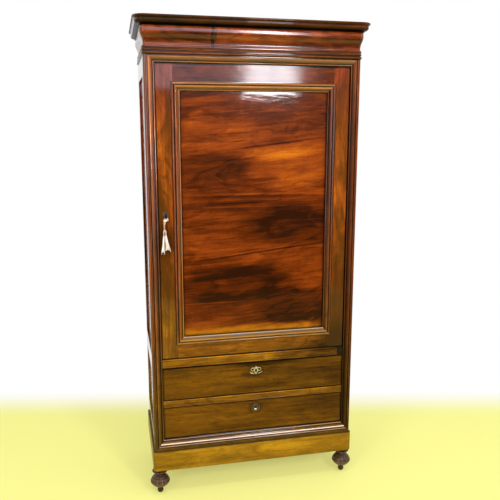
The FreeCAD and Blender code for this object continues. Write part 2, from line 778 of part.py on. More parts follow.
def round_hinge_edge(piece):
    """Round the hinge stile's front corner about the pin, so it turns inside its gap."""
    tool = box(pivot_x, door_half + 1, field_recess - 1, pivot_y, door_bottom - 1, door_top + 1)
    tool = tool.cut(cylinder(pivot_edge_distance, (pivot_x, pivot_y, door_bottom - 1),
                             (pivot_x, pivot_y, door_top + 1)))
    return piece.cut(tool)


def make_door():
    face = field_recess
    panel_y = face + door_panel_recess
    inner_x = door_half - door_stile_width
    rail_z0 = door_bottom + door_bottom_rail
    rail_z1 = door_top - door_top_rail
    tenon_y = face + (door_thickness - tenon_thickness) / 2
    panel = box(-inner_x - groove_depth, inner_x + groove_depth, panel_y, panel_y + door_panel_thickness,
                rail_z0 - groove_depth, rail_z1 + groove_depth)
    rails = []
    for z0, z1 in ((door_bottom, rail_z0), (rail_z1, door_top)):
        rail = box(-inner_x, inner_x, face, door_back, z0, z1)
        reach = inner_x + 2 * tenon_length
        tenon = box(-reach, reach, tenon_y, tenon_y + tenon_thickness, z0 + 2 * tenon_shoulder,
                    z1 - 2 * tenon_shoulder)
        rails.append(fused([rail, tenon]))
    stile = box(inner_x, door_half, face, door_back, door_bottom, door_top)
    for rail in rails:
        stile = stile.cut(rail)
    mouldings = mitred_frame(door_moulding_profile(), -inner_x - door_moulding_lap,
                             inner_x + door_moulding_lap, rail_z0 - door_moulding_lap,
                             rail_z1 + door_moulding_lap, door_moulding_width)
    stile = stile.cut(panel)
    rails = [rail.cut(panel) for rail in rails]

    hinge_stile = round_hinge_edge(stile)
    shoes = []
    pin_hole = pivot_pin_radius + pivot_running_gap
    x0 = door_half - pivot_plate_length
    shoe_y1 = pivot_y + pivot_plate_width / 2
    for base, end in ((door_bottom, door_bottom + pivot_pin_length + 1),
                      (door_top, door_top - pivot_pin_length - 1)):
        inward = math.copysign(pivot_plate_thickness, end - base)
        z_low = min(base, base + inward)
        shoe = box(x0, door_half - pivot_shoe_inset, field_recess, shoe_y1, z_low,
                   z_low + pivot_plate_thickness)
        hole = cylinder(pin_hole, (pivot_x, pivot_y, base - inward), (pivot_x, pivot_y, end))
        hinge_stile = hinge_stile.cut(shoe).cut(hole)
        shoes.append(shoe.cut(hole))

    lock_x0 = -door_half
    lock_x1 = lock_x0 + lock_width
    lock_z0 = lock_centre_z - lock_height / 2
    lock_z1 = lock_centre_z + lock_height / 2
    lock_y0 = lock_y - lock_thickness / 2
    lock_y1 = lock_y + lock_thickness / 2
    pocket = box(lock_x0 - 1, lock_x1, lock_y0, lock_y1, lock_z0, lock_z1)
    face_plate = box(lock_x0, lock_x0 + lock_wall, lock_y0, lock_y1, lock_z0 - face_plate_reach,
                     lock_z1 + face_plate_reach)
    lock_stile = mirrored(stile).cut(pocket).cut(face_plate).cut(keyhole(key_x, key_height, face - 1, lock_y))
    case = fused([lock_case(lock_x0, lock_x1, lock_z0, lock_z1, lock_y0, lock_y1), face_plate])
    case = case.cut(bolt_slot(lock_x0 - 1, lock_x0 + lock_wall + 1))
    shank_hole = cylinder(key_shank_radius + pivot_running_gap, (key_x, lock_y0 - 1, key_height),
                          (key_x, lock_y1 - lock_wall / 2, key_height))
    bit_slot = box(key_x - keyhole_slot_width / 2, key_x + keyhole_slot_width / 2, lock_y0 - 1,
                   lock_y0 + lock_wall + 1, key_height - keyhole_slot_length, key_height)
    case = case.cut(shank_hole).cut(bit_slot)
    ring = oval_plate(key_x, key_height, ring_width / 2, ring_height / 2, face - ring_thickness, face)
    ring = ring.cut(keyhole(key_x, key_height, face - ring_thickness - 1, face + 1))

    screws = []
    for base, down in ((door_bottom, 1), (door_top, -1)):
        screws.append(screw(x0 + screw_inset, (field_recess + shoe_y1) / 2, base, (0, 0, down)))
    for z in (lock_z0 - face_plate_reach / 2, lock_z1 + face_plate_reach / 2):
        screws.append(screw(lock_x0, lock_y, z, (1, 0, 0)))
    for tool in screws:
        hinge_stile = hinge_stile.cut(tool)
        lock_stile = lock_stile.cut(tool)
        case = case.cut(tool)
        rails = [rail.cut(tool) for rail in rails]
        shoes = [shoe.cut(tool) for shoe in shoes]

    save("door_stile_lock", lock_stile)
    save("door_stile_hinge", hinge_stile)
    save("door_rail_bottom", rails[0])
    save("door_rail_top", rails[1])
    save("door_panel", panel)
    save("door_mouldings", *mouldings.values())
    save("pivot_shoes", *shoes)
    save("door_lock_case", case)
    save("keyhole_ring", ring)
    save("door_screws", *screws)


def oval_plate(x, z, half_w, half_h, y0, y1):
    """An upright oval plate, drawn as a round disc stretched to its height."""
    disc = cylinder(half_w, (0, y0, 0), (0, y1, 0))
    stretch = FreeCAD.Matrix()
    stretch.scale(1, 1, half_h / half_w)
    plate = disc.transformGeometry(stretch)
    plate.translate(Vector(x, 0, z))
    return plate


def make_key_and_bolt():
    bow_front = field_recess - key_shank_front
    bow_y0 = bow_front - key_bow_length
    bit_y1 = lock_y + lock_thickness / 2 - lock_wall - slack
    tail_y = lock_y + lock_thickness / 2 - lock_wall / 2 - slack / 2
    shank = cylinder(key_shank_radius, (key_x, bow_front - 1, key_height), (key_x, tail_y, key_height))
    middle = (bow_front + bow_y0) / 2
    bow = oval_loop(middle, key_bow_length / 2, key_bow_height / 2, key_bow_rim)
    collar = cylinder(key_shank_radius + key_collar, (key_x, bow_front - 1, key_height),
                      (key_x, bow_front - 1 + key_collar_length, key_height))
    bit = box(key_x - key_bit_width / 2, key_x + key_bit_width / 2, bit_y1 - key_bit_depth, bit_y1,
              key_height - key_bit_length, key_height)
    save("door_key", fused([shank, collar, bow, bit]))

    x0 = -door_half + slack
    half_t = bolt_thickness / 2
    bar = box(x0, key_x + lock_width / 4, lock_y - half_t, lock_y + half_t, bolt_z - bolt_height / 2,
              bolt_z + bolt_height / 2)
    lug = box(key_x - lug_offset - lug_width, key_x - lug_offset, lock_y - half_t, lock_y + half_t,
              bolt_z, key_height - key_bit_length / 2)
    save("door_bolt", fused([bar, lug]))


def oval_loop(y, half_y, half_z, rim):
    """The key's bow: a flat oval loop in the upright plane through the shank."""
    def disc(scale_y, scale_z, half_t):
        round_disc = cylinder(1.0, (key_x - half_t, 0, 0), (key_x + half_t, 0, 0))
        stretch = FreeCAD.Matrix()
        stretch.scale(1, scale_y, scale_z)
        return round_disc.transformGeometry(stretch)
    half_t = key_bow_thickness / 2
    loop = disc(half_y, half_z, half_t).cut(disc(half_y - rim, half_z - rim, half_t + 1))
    loop.translate(Vector(0, y, key_height))
    return loop


def cord_loop():
    """The cord's tube: up from the tassel, tight round the key's shank and down again."""
    radius = key_shank_radius + slack + cord_radius
    foot = Vector(cord_spread, 0, tassel_top - cord_buried - key_height)
    angle = math.atan2(foot.z, foot.x) + math.acos(radius / foot.Length)
    tangent = Vector(radius * math.cos(angle), 0, radius * math.sin(angle))
    centre = Vector(key_x, tassel_y, key_height)

    def other(point):
        return Vector(-point.x, 0, point.z)
    run_up = Part.LineSegment(centre + foot, centre + tangent).toShape()
    over = Part.Arc(centre + tangent, centre + Vector(0, 0, radius), centre + other(tangent)).toShape()
    run_down = Part.LineSegment(centre + other(tangent), centre + other(foot)).toShape()
    path = Part.Wire([run_up, over, run_down])
    section = Part.Wire([Part.makeCircle(cord_radius, centre + foot, tangent - foot)])
    tube = path.makePipeShell([section], True, False)
    print("cord: bend radius", radius, "length", path.Length,
          "volume over section times length", tube.Volume / (math.pi * cord_radius ** 2 * path.Length))
    return tube


def make_tassel():
    """A short cord looped round the key's shank, and the forked cotton tassel on it."""
    y = tassel_y
    cord = cord_loop()
    save("tassel_cord", cord)

    neck_z = tassel_bottom + tassel_lock_length
    half_w = tassel_skirt_width / 2
    half_d = tassel_skirt_depth / 2
    neck = turned([(0, 0), (tassel_neck_radius, 0), (tassel_neck_radius, tassel_top - neck_z),
                   (0, tassel_top - neck_z)], key_x, y, neck_z)
    knot = Part.makeSphere(tassel_head_radius, Vector(key_x, y, neck_z + tassel_head_radius * 2))
    knot = knot.common(box(key_x - far, key_x + far, y - half_d, y + half_d, 0, far))
    locks = []
    for side in (-1, 1):
        foot = side * half_w
        corners = [(key_x, neck_z + 2 * tassel_head_radius),
                   (key_x + side * tassel_lock_root, neck_z + tassel_head_radius),
                   (key_x + foot, tassel_bottom), (key_x + foot / 6, tassel_bottom)]
        locks.append(front_prism(corners, y - half_d, y + half_d))
    save("tassel", fused([neck, knot] + locks).cut(cord))


# ---------------------------------------------------------------- drawers
def dovetails(x0, x1, y, z0, z1):
    """Tails on a drawer side's front end, flaring towards the front."""
    pitch = (z1 - z0) / dovetail_count
    tails = []
    for i in range(dovetail_count):
        middle = z0 + pitch * (i + 0.5)
        half = pitch * dovetail_share / 2
        corners = [(y, middle - half), (y - dovetail_lap, middle - half - dovetail_flare),
                   (y - dovetail_lap, middle + half + dovetail_flare), (y, middle + half)]
        face = outline(lambda a, b: Vector(x0, a, b), *corners)
        tails.append(face.extrude(Vector(x1 - x0, 0, 0)))
    return tails


def bead_quirks(half, z0, z1):
    """The fine groove that sets off the bead round a drawer front."""
    w = drawer_bead_width
    q = drawer_bead_quirk
    face = field_recess
    outer = box(-half + w, half - w, face - 1, face + q, z0 + w, z1 - w)
    inner = box(-half + w + q, half - w - q, face - 2, face + q + 1, z0 + w + q, z1 - w - q)
    return outer.cut(inner)


def make_drawer(name, opening_bottom, opening_top, keyhole_x, keyhole_drop, plate):
    face = field_recess
    half = opening_half - drawer_gap
    z0 = opening_bottom + drawer_gap / 2
    z1 = opening_top - drawer_gap
    front_back = face + drawer_front_thickness
    side_bottom = opening_bottom + slack
    side_top = z1 - drawer_side_drop
    end = back_inner - drawer_back_clearance
    side_x0 = half - drawer_side_thickness
    keyhole_z = z1 - keyhole_drop

    front = box(-half, half, face, front_back, z0, z1).cut(bead_quirks(half, z0, z1))
    side = fused([box(side_x0, half, front_back, end, side_bottom, side_top)]
                 + dovetails(side_x0, half, front_back, side_bottom, side_top))
    front = front.cut(side).cut(mirrored(side))
    bottom_z = side_bottom + drawer_bottom_lift
    bottom_x = side_x0 + drawer_groove
    bottom = box(-bottom_x, bottom_x, front_back - drawer_groove, end, bottom_z,
                 bottom_z + drawer_bottom_thickness)
    front = front.cut(bottom)
    side = side.cut(bottom)
    back = box(-side_x0, side_x0, end - drawer_back_thickness, end, bottom_z + drawer_bottom_thickness,
               side_top)

    lock_x0 = keyhole_x - drawer_lock_width / 2
    lock_x1 = keyhole_x + drawer_lock_width / 2
    lock_y0 = front_back - drawer_lock_thickness
    lock_z0 = z1 - drawer_lock_height
    pocket = box(lock_x0, lock_x1, lock_y0, front_back + 1, lock_z0, z1 + 1)
    front = front.cut(pocket).cut(keyhole(keyhole_x, keyhole_z, face - 1, lock_y0 + 1))
    case = lock_case(lock_x0, lock_x1, lock_z0, z1, lock_y0, front_back)
    case = case.cut(keyhole(keyhole_x, keyhole_z, lock_y0 - 1, lock_y0 + lock_wall + 1))
    pin = cylinder(drawer_pin_radius, (keyhole_x, lock_y0, keyhole_z), (keyhole_x, front_back - 1, keyhole_z))
    case = case.fuse(pin).removeSplitter()
    bolt_y = front_back - drawer_lock_thickness / 2
    half_w = drawer_bolt_width / 2
    half_t = drawer_bolt_thickness / 2
    case = case.cut(box(keyhole_x - half_w - slack, keyhole_x + half_w + slack, bolt_y - half_t - slack,
                        bolt_y + half_t + slack, z1 - lock_wall - 1, z1 + 1))
    bolt_top = z1 - slack
    bolt = box(keyhole_x - half_w, keyhole_x + half_w, bolt_y - half_t, bolt_y + half_t,
               bolt_top - drawer_bolt_height, bolt_top)
    hole = keyhole(keyhole_x, keyhole_z, face - 2 * plate_thickness, face + 1)

    save(name + "_front", front)
    save(name + "_box", side, mirrored(side), back)
    save(name + "_bottom", bottom)
    save(name + "_lock", case)
    save(name + "_bolt", bolt)
    save(name + "_escutcheon", plate(keyhole_x, keyhole_z).cut(hole))


def scroll_plate(x, z):
    """A pierced brass plate: an oval middle, a loop each side and two lower leaves."""
    y0 = field_recess - plate_thickness
    y1 = field_recess
    middle = oval_plate(x, z, oval_half_width, oval_half_height, y0, y1)
    pieces = [middle]
    for side in (-1, 1):
        eye_x = x + side * scroll_offset
        eye_z = z + scroll_lift
        loop = cylinder(scroll_radius, (eye_x, y0, eye_z), (eye_x, y1, eye_z))
        eye = cylinder(scroll_eye_radius, (eye_x, y0 - 1, eye_z), (eye_x, y1 + 1, eye_z))
        pieces.append(loop.cut(eye).cut(middle))
        leaf = outline(lambda a, b: Vector(x + side * a, y0, z + b), (5, -10), ((17, -19), (32, -8)),
                       ((20, -8.5), (7, -4)))
        pieces.append(leaf.extrude(Vector(0, y1 - y0, 0)))
    return fused(pieces)


def round_plate(x, z):
    """A round iron plate with a raised rim."""
    y1 = field_recess
    y0 = y1 - plate_thickness
    rim_y = y0 - plate_thickness
    plate = cylinder(round_plate_radius, (x, rim_y, z), (x, y1, z))
    return plate.cut(cylinder(round_plate_radius - round_plate_rim, (x, rim_y - 1, z), (x, y0, z)))


make_cornice()
make_carcase()
make_inside()
make_base()
make_door()
make_key_and_bolt()
make_tassel()
make_drawer("upper_drawer", upper_opening_bottom, upper_opening_top, upper_keyhole_x, upper_keyhole_drop,
            scroll_plate)
make_drawer("lower_drawer", lower_opening_bottom, lower_opening_top, lower_keyhole_x, lower_keyhole_drop,
            round_plate)
print("cabinet height", cabinet_top, "width", carcase_width + 2 * cap_overhang)
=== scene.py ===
import json
import math

import bmesh
import bpy
from bpy.props import FloatProperty, FloatVectorProperty, IntProperty, PointerProperty
from mathutils import Matrix, Vector


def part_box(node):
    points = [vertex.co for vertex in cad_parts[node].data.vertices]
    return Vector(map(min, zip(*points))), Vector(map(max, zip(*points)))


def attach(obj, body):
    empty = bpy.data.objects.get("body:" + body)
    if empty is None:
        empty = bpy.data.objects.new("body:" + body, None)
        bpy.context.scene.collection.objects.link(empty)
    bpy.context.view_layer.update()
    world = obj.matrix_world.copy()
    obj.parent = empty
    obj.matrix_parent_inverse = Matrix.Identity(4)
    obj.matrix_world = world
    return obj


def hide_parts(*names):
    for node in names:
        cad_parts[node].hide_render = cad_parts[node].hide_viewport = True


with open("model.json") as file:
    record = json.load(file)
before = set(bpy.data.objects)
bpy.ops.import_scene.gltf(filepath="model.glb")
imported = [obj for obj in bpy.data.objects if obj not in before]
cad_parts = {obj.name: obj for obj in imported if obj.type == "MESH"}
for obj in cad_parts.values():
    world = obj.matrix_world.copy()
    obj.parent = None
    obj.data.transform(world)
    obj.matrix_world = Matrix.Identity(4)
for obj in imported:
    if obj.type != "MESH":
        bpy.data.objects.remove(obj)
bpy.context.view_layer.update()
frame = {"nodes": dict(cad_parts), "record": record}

bl_info = {
    "name": "Bonnetiere cabinet",
    "version": (1, 0, 0),
    "blender": (4, 5, 0),
    "location": "View3D > Sidebar > Cabinet",
    "description": "French-polished walnut cabinet with one panelled door over two drawers",
    "category": "Object",
}

FULL_TURN = 2 * math.pi
FLOOR_HALF = 6.0


# ---------------------------------------------------------------- places
def to_tenths(*place):
    """A place rounded to tenths of a millimetre, since the boxes of round pieces are a hair off."""
    return Vector([round(part, 4) for part in place])


def key_place():
    """Where the tassel hangs on the key's shank."""
    low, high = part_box("tassel")
    bow_half = 0.015
    return to_tenths((low.x + high.x) / 2, (low.y + high.y) / 2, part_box("door_key")[1].z - bow_half)


def keyhole(plate, rise):
    """A keyhole's middle on the drawer's face: its plate rises that far above it."""
    low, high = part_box(plate)
    return to_tenths((low.x + high.x) / 2, high.y, high.z - rise)


KEY_PLACE = key_place()
UPPER_KEYHOLE = keyhole("upper_drawer_escutcheon", 0.018)
LOWER_KEYHOLE = keyhole("lower_drawer_escutcheon", 0.021)


# ---------------------------------------------------------------- sizes and colours
def length(name, description, default):
    return FloatProperty(name=name, description=description, default=default, unit="LENGTH", precision=5)


def colour(name, description, default):
    return FloatVectorProperty(name=name, description=description, default=default, size=3,
                               subtype="COLOR", min=0.0, max=1.0)


class CabinetSizes(bpy.types.PropertyGroup):
    """Sizes of the fine work that the polished pieces get"""
    board_edge: length("Board edge", "Rounding of the edges of boards and rails", 0.0009)
    moulding_edge: length("Moulding edge", "Rounding of the arrises of the mouldings", 0.0003)
    cord_width: length("Cord width", "Diameter of the tassel's cord", 0.003)
    thread_width: length("Thread width", "Diameter of one thread of the tassel's skirt", 0.0016)
    threads: IntProperty(name="Threads", description="Threads in each lock of the tassel", default=46,
                         min=8, max=80)
    bow_wire: length("Bow wire", "Diameter of the key's bow", 0.0035)


class CabinetColours(bpy.types.PropertyGroup):
    """Colours of the woods, metals and threads"""
    umber: colour("Umber", "Darkest figure of the walnut", (0.022, 0.005, 0.001))
    chestnut: colour("Chestnut", "Dark figure of the walnut", (0.090, 0.015, 0.001))
    russet: colour("Russet", "Middle colour of the walnut", (0.205, 0.036, 0.003))
    amber: colour("Amber", "Light figure of the walnut", (0.330, 0.072, 0.003))
    gold: colour("Gold", "Brightest figure of the walnut", (0.520, 0.150, 0.005))
    # The olive colours stand partly for bleached lower boards and partly for a painted reflection of the
    # yellow floor
    olive_dark: colour("Dark olive", "Dark figure of the bleached lower boards", (0.062, 0.024, 0.002))
    olive: colour("Olive", "Middle colour of the bleached lower boards", (0.170, 0.066, 0.003))
    honey: colour("Honey", "Light figure of the bleached lower boards", (0.420, 0.200, 0.006))
    plum: colour("Plum", "Ground of the dark mouldings", (0.120, 0.044, 0.018))
    # Moss too is partly a painted reflection of the yellow floor
    moss: colour("Moss", "Ground of the mouldings near the floor", (0.075, 0.042, 0.007))
    oak_light: colour("Light oak", "Light figure of the unfinished oak", (0.42, 0.28, 0.15))
    oak_dark: colour("Dark oak", "Dark figure of the unfinished oak", (0.20, 0.12, 0.06))
    iron: colour("Iron", "Blackened iron of the locks and pivots", (0.036, 0.029, 0.024))
    steel: colour("Steel", "Worn steel of the key", (0.030, 0.027, 0.025))
    brass: colour("Brass", "Brass of the upper drawer's plate", (0.88, 0.76, 0.60))
    old_brass: colour("Old brass", "Darkened brass of the lower drawer's plate", (0.20, 0.125, 0.055))
    thread: colour("Thread", "Cream cotton of the tassel", (0.97, 0.84, 0.81))
    floor: colour("Floor", "Plain pale floor", (0.95, 0.94, 0.30))


def sizes():
    return bpy.context.scene.cabinet_sizes


def colours():
    return bpy.context.scene.cabinet_colours


# ---------------------------------------------------------------- node helpers
def put(tree, kind, inputs=None, **settings):
    """Add a shader node; an input's value is a number, a colour or another node's output."""
    node = tree.nodes.new(kind)
    for name, value in settings.items():
        setattr(node, name, value)
    for name, value in (inputs or {}).items():
        if isinstance(value, bpy.types.NodeSocket):
            tree.links.new(value, node.inputs[name])
        else:
            node.inputs[name].default_value = value
    return node


def new_material(name):
    material = bpy.data.materials.new(name)
    material.use_nodes = True
    return material, material.node_tree, material.node_tree.nodes["Principled BSDF"]


def object_place(tree):
    return put(tree, "ShaderNodeTexCoord").outputs["Object"]


def coordinate(tree, place, axis):
    return put(tree, "ShaderNodeSeparateXYZ", {0: place}).outputs[axis]


def scaled(tree, coordinates, scale, shift=(0, 0, 0), turn=(0, 0, 0)):
    return put(tree, "ShaderNodeMapping", {"Vector": coordinates, "Scale": scale, "Location": shift,
                                           "Rotation": turn}).outputs[0]


def stretch(grain, along, across):
    return tuple(along if axis == grain else across for axis in "xyz")


def noise(tree, coordinates, detail=3.0, roughness=0.55, distortion=0.0, output="Fac"):
    return put(tree, "ShaderNodeTexNoise", {"Vector": coordinates, "Scale": 1.0, "Detail": detail,
                                            "Roughness": roughness, "Distortion": distortion}).outputs[output]


def maths(tree, operation, first, second=0.0, third=0.0, clamp=False):
    node = put(tree, "ShaderNodeMath", {0: first, 1: second, 2: third}, operation=operation, use_clamp=clamp)
    return node.outputs[0]


def span(tree, value, low, high, start=0.0, end=1.0, smooth=False):
    """How far value is on its way from low to high, told from start to end and held there."""
    return put(tree, "ShaderNodeMapRange", {"Value": value, "From Min": low, "From Max": high,
                                            "To Min": start, "To Max": end},
               interpolation_type="SMOOTHSTEP" if smooth else "LINEAR").outputs[0]


def ramp(tree, factor, stops):
    """A colour ramp; each stop is (place, colour) and a plain number is a grey."""
    node = put(tree, "ShaderNodeValToRGB", {"Fac": factor})
    elements = node.color_ramp.elements
    while len(elements) < len(stops):
        elements.new(0.5)
    for element, (place, shade) in zip(elements, stops):
        element.position = place
        element.color = (shade, shade, shade, 1) if isinstance(shade, (int, float)) else (*shade, 1)
    return node.outputs["Color"]


def mix(tree, factor, first, second, blend="MIX"):
    node = put(tree, "ShaderNodeMix", data_type="RGBA", blend_type=blend)
    for socket, value in ((node.inputs[0], factor), (node.inputs[6], first), (node.inputs[7], second)):
        if isinstance(value, bpy.types.NodeSocket):
            tree.links.new(value, socket)
        else:
            socket.default_value = value if isinstance(value, (int, float)) else (*value, 1)
    return node.outputs[2]


def bumped(tree, shader, height, strength, distance):
    bump = put(tree, "ShaderNodeBump", {"Height": height, "Strength": strength,
                                        "Distance": distance}).outputs[0]
    tree.links.new(bump, shader.inputs["Normal"])
    return bump


def seen_rays(tree):
    """1 for the rays of the camera, of gloss and of glass, and 0 for those that light the cabinet."""
    rays = put(tree, "ShaderNodeLightPath").outputs
    seen = maths(tree, "ADD", rays["Is Camera Ray"], rays["Is Glossy Ray"], clamp=True)
    return maths(tree, "ADD", seen, rays["Is Transmission Ray"], clamp=True)


# ---------------------------------------------------------------- lines and spots on the wood
def reach(node, axis):
    """How far a node goes along an axis: its low and its high end."""
    low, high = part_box(node)
    return getattr(low, axis), getattr(high, axis)


def over(node, axis, stops, *blend):
    """A line from a node's low end to its high end."""
    return (axis, None, *reach(node, axis), stops, *blend)


def at_ends(node, axis, width, stops, inset=0.0):
    """A line at both ends of a node, from within outwards, as wide as width and inset from the end."""
    low, high = reach(node, axis)
    outer = (high - low) / 2 - inset
    return (axis, (low + high) / 2, outer - width, outer, stops)


def banded(tree, wood, place, lines, front=None):
    """Painted shade, with some dirt, in the hollows and gaps, and painted highlights, with some
    wear, on the crests, across a moulding or a board's edge.

    Each line is (axis, middle, low, high, stops), and with "ADD" after them it lightens
    instead of darkening. The stops run from low to high, measured along the axis as the
    distance from middle, or as the plain coordinate without one. Where front is given, the
    lines end a few millimetres behind that front face and leave the board's edges clean.
    """
    split = put(tree, "ShaderNodeSeparateXYZ", {0: place}).outputs
    near = 1.0 if front is None else span(tree, split["Y"], front + 0.002, front + 0.005, 1.0, 0.0)
    for axis, middle, low, high, stops, *blend in lines:
        value = split[axis.upper()]
        if middle is not None:
            value = maths(tree, "ABSOLUTE", maths(tree, "SUBTRACT", value, middle))
        shade = ramp(tree, span(tree, value, low, high), stops)
        wood = mix(tree, near, wood, shade, *(blend or ["MULTIPLY"]))
    return wood


def spot(tree, coordinates, x, z, half_x, half_z, tilt=0.0):
    """A soft oval spot on the front, 1 in its middle and 0 at its rim."""
    place = put(tree, "ShaderNodeMapping", {"Vector": coordinates, "Location": (x, 0, z),
                                            "Rotation": (0, math.radians(tilt), 0),
                                            "Scale": (half_x, 100.0, half_z)}, vector_type="TEXTURE")
    return put(tree, "ShaderNodeTexGradient", {"Vector": place.outputs[0]},
               gradient_type="SPHERICAL").outputs["Fac"]


def spotted(tree, factor, place, wander, grain, spots, raggedness, fade):
    """Lighten or darken the figure in ragged spots, which fade over a share of their half width."""
    ragged = put(tree, "ShaderNodeVectorMath", {0: wander, 1: stretch(grain, *raggedness), 2: place},
                 operation="MULTIPLY_ADD").outputs[0]
    for x, z, half_x, half_z, amount, *tilt in spots:
        share = spot(tree, ragged, x, z, half_x, half_z, *tilt)
        if fade < 1:
            share = span(tree, share, 0.0, fade, smooth=True)
        factor = maths(tree, "MULTIPLY_ADD", share, amount, factor)
    return factor


# ---------------------------------------------------------------- woods
# The two heights between which a wood turns from olive to red, the olive being partly bleached wood and
# partly a painted reflection of the yellow floor; two under the floor leave it red
ALL_RED = (-2, -1)
OLIVE_LOW = (0.3, 1.0)


def walnut(name, grain, seed, level, contrast, tilt=0.0, patches=(), spread=1.0, marks=(), stains=(),
           lines=(), front=None, olive=(0.72, 1.2), tint=None, tint_low=None, tint_share=0.0, coat=0.8,
           worn=0.3, knee=(0.75, 1.25), polish=0.035, body_gloss=0.03):
    """French-polished walnut: figure, growth rings, streaks, pores and a smooth clear coat.

    The figure is darker or lighter by level and by the patches and the sharper marks, each
    (x, z, half width, half height, how much lighter, tilt). A patch fades from its middle over
    the share spread of its half width. A dark spot is (x, z, half width, half height, the share
    of the colour that it leaves), and banded tells what the lines and the front are. The wood
    turns from its olive colour below the first height in olive to its red one above the
    second, and a tint from tint_low to tint; the olive and the low tint stand partly for
    bleached wood and partly for a painted reflection of the yellow floor. Below the knee only
    the share worn of the coat is left.
    """
    c = colours()
    material, tree, shader = new_material(name)
    place = object_place(tree)
    turned = scaled(tree, place, (1, 1, 1), (seed, seed * 0.7, seed * 1.3), (0, math.radians(tilt), 0))

    def grained(along, across, *texture, output="Fac"):
        """A noise stretched along the grain; texture is its detail, roughness and distortion."""
        return noise(tree, scaled(tree, turned, stretch(grain, along, across)), *texture, output=output)

    figure = grained(1.6, 8.0, 4.0, 0.55, 0.6)
    streaks = grained(2.6, 60.0, 5.0, 0.68, 0.3)
    fine = grained(14.0, 420.0, 2.0, 0.6)
    pores = grained(45.0, 1150.0, 1.0, 0.5)
    curl = grained(5.0, 14.0, 4.0, 0.6, 1.6)
    swell = grained(1.5, 5.5, 2.0, 0.45, 0.5)
    rings = maths(tree, "SINE", maths(tree, "MULTIPLY_ADD", swell, 75.0, maths(tree, "MULTIPLY", curl, 8.0)))
    rings = maths(tree, "MULTIPLY", span(tree, rings, 0.45, 1.0),
                  ramp(tree, figure, [(0.42, 0.15), (0.55, 1.0)]))
    factor = level
    for pattern, amount in ((figure, 1.5 * contrast), (streaks, 1.1 * contrast), (fine, 0.32),
                            (curl, 0.9 * contrast)):
        factor = maths(tree, "MULTIPLY_ADD", maths(tree, "SUBTRACT", pattern, 0.5), amount, factor)
    factor = maths(tree, "MULTIPLY_ADD", rings, -0.16 * contrast, factor)
    wander = grained(5.0, 30.0, 4.0, 0.65, output="Color")
    wander = put(tree, "ShaderNodeVectorMath", {0: wander, 1: (0.5, 0.5, 0.5)},
                 operation="SUBTRACT").outputs[0]
    factor = spotted(tree, factor, place, wander, grain, patches, (0.26 * spread, 0.07 * spread), spread)
    factor = spotted(tree, factor, place, wander, grain, marks, (0.02, 0.005), 1.0)

    red = ramp(tree, factor, [(0.0, c.umber), (0.28, c.chestnut), (0.52, c.russet), (0.74, c.amber),
                              (1.0, c.gold)])
    # Olive below: partly bleached wood, partly a painted reflection of the yellow floor
    bleached_and_floor_tint = ramp(tree, factor, [(0.0, c.umber), (0.25, c.olive_dark), (0.55, c.olive), (1.0, c.honey)])
    height = coordinate(tree, place, "Z")
    rise = span(tree, height, *olive, smooth=True)
    wood = mix(tree, rise, bleached_and_floor_tint, red)
    if tint:
        wood = mix(tree, tint_share, wood, mix(tree, rise, tint_low, tint) if tint_low else tint)
    pits = ramp(tree, pores, [(0.30, 0.5), (0.42, 1.0)])
    wood = mix(tree, 1.0, wood, pits, "MULTIPLY")
    wood = banded(tree, wood, place, lines, front)
    for *where, left in stains:
        shade = ramp(tree, spot(tree, place, *where), [(0.0, 1.0), (0.55, left)])
        wood = mix(tree, 1.0, wood, shade, "MULTIPLY")
    tree.links.new(wood, shader.inputs["Base Color"])

    smears = noise(tree, scaled(tree, place, (9, 9, 9), (seed, 0, 0)))
    tree.links.new(span(tree, smears, 0.0, 1.0, 0.22, 0.38), shader.inputs["Roughness"])
    ripple = noise(tree, scaled(tree, place, stretch(grain, 9.0, 26.0), (0, seed, 0)))
    bump = bumped(tree, shader, maths(tree, "MULTIPLY_ADD", pits, 0.02, ripple), 0.4, 0.0008)
    tree.links.new(bump, shader.inputs["Coat Normal"])
    shader.inputs["Specular IOR Level"].default_value = body_gloss
    lacquer = span(tree, height, *knee, coat * worn, coat)
    lacquer = maths(tree, "MULTIPLY", lacquer, ramp(tree, smears, [(0.3, 0.7), (0.6, 1.0)]))
    tree.links.new(lacquer, shader.inputs["Coat Weight"])
    shader.inputs["Coat Roughness"].default_value = polish
    return material


def oak(name, grain, seed):
    """Unfinished oak: pale, matt, with rays and open pores."""
    c = colours()
    material, tree, shader = new_material(name)
    moved = scaled(tree, object_place(tree), (1, 1, 1), (seed, seed, seed))
    figure = noise(tree, scaled(tree, moved, stretch(grain, 1.8, 16.0)), 5.0, 0.6, 0.6)
    streaks = noise(tree, scaled(tree, moved, stretch(grain, 4.0, 240.0)), 3.0, 0.6)
    pores = noise(tree, scaled(tree, moved, stretch(grain, 28.0, 900.0)), 1.0)
    factor = maths(tree, "MULTIPLY_ADD", maths(tree, "SUBTRACT", streaks, 0.5), 0.7, figure)
    wood = ramp(tree, factor, [(0.25, c.oak_dark), (0.75, c.oak_light)])
    pits = ramp(tree, pores, [(0.33, 0.45), (0.45, 1.0)])
    tree.links.new(mix(tree, 1.0, wood, pits, "MULTIPLY"), shader.inputs["Base Color"])
    tree.links.new(span(tree, streaks, 0.0, 1.0, 0.6, 0.85), shader.inputs["Roughness"])
    bumped(tree, shader, pits, 0.3, 0.0004)
    return material


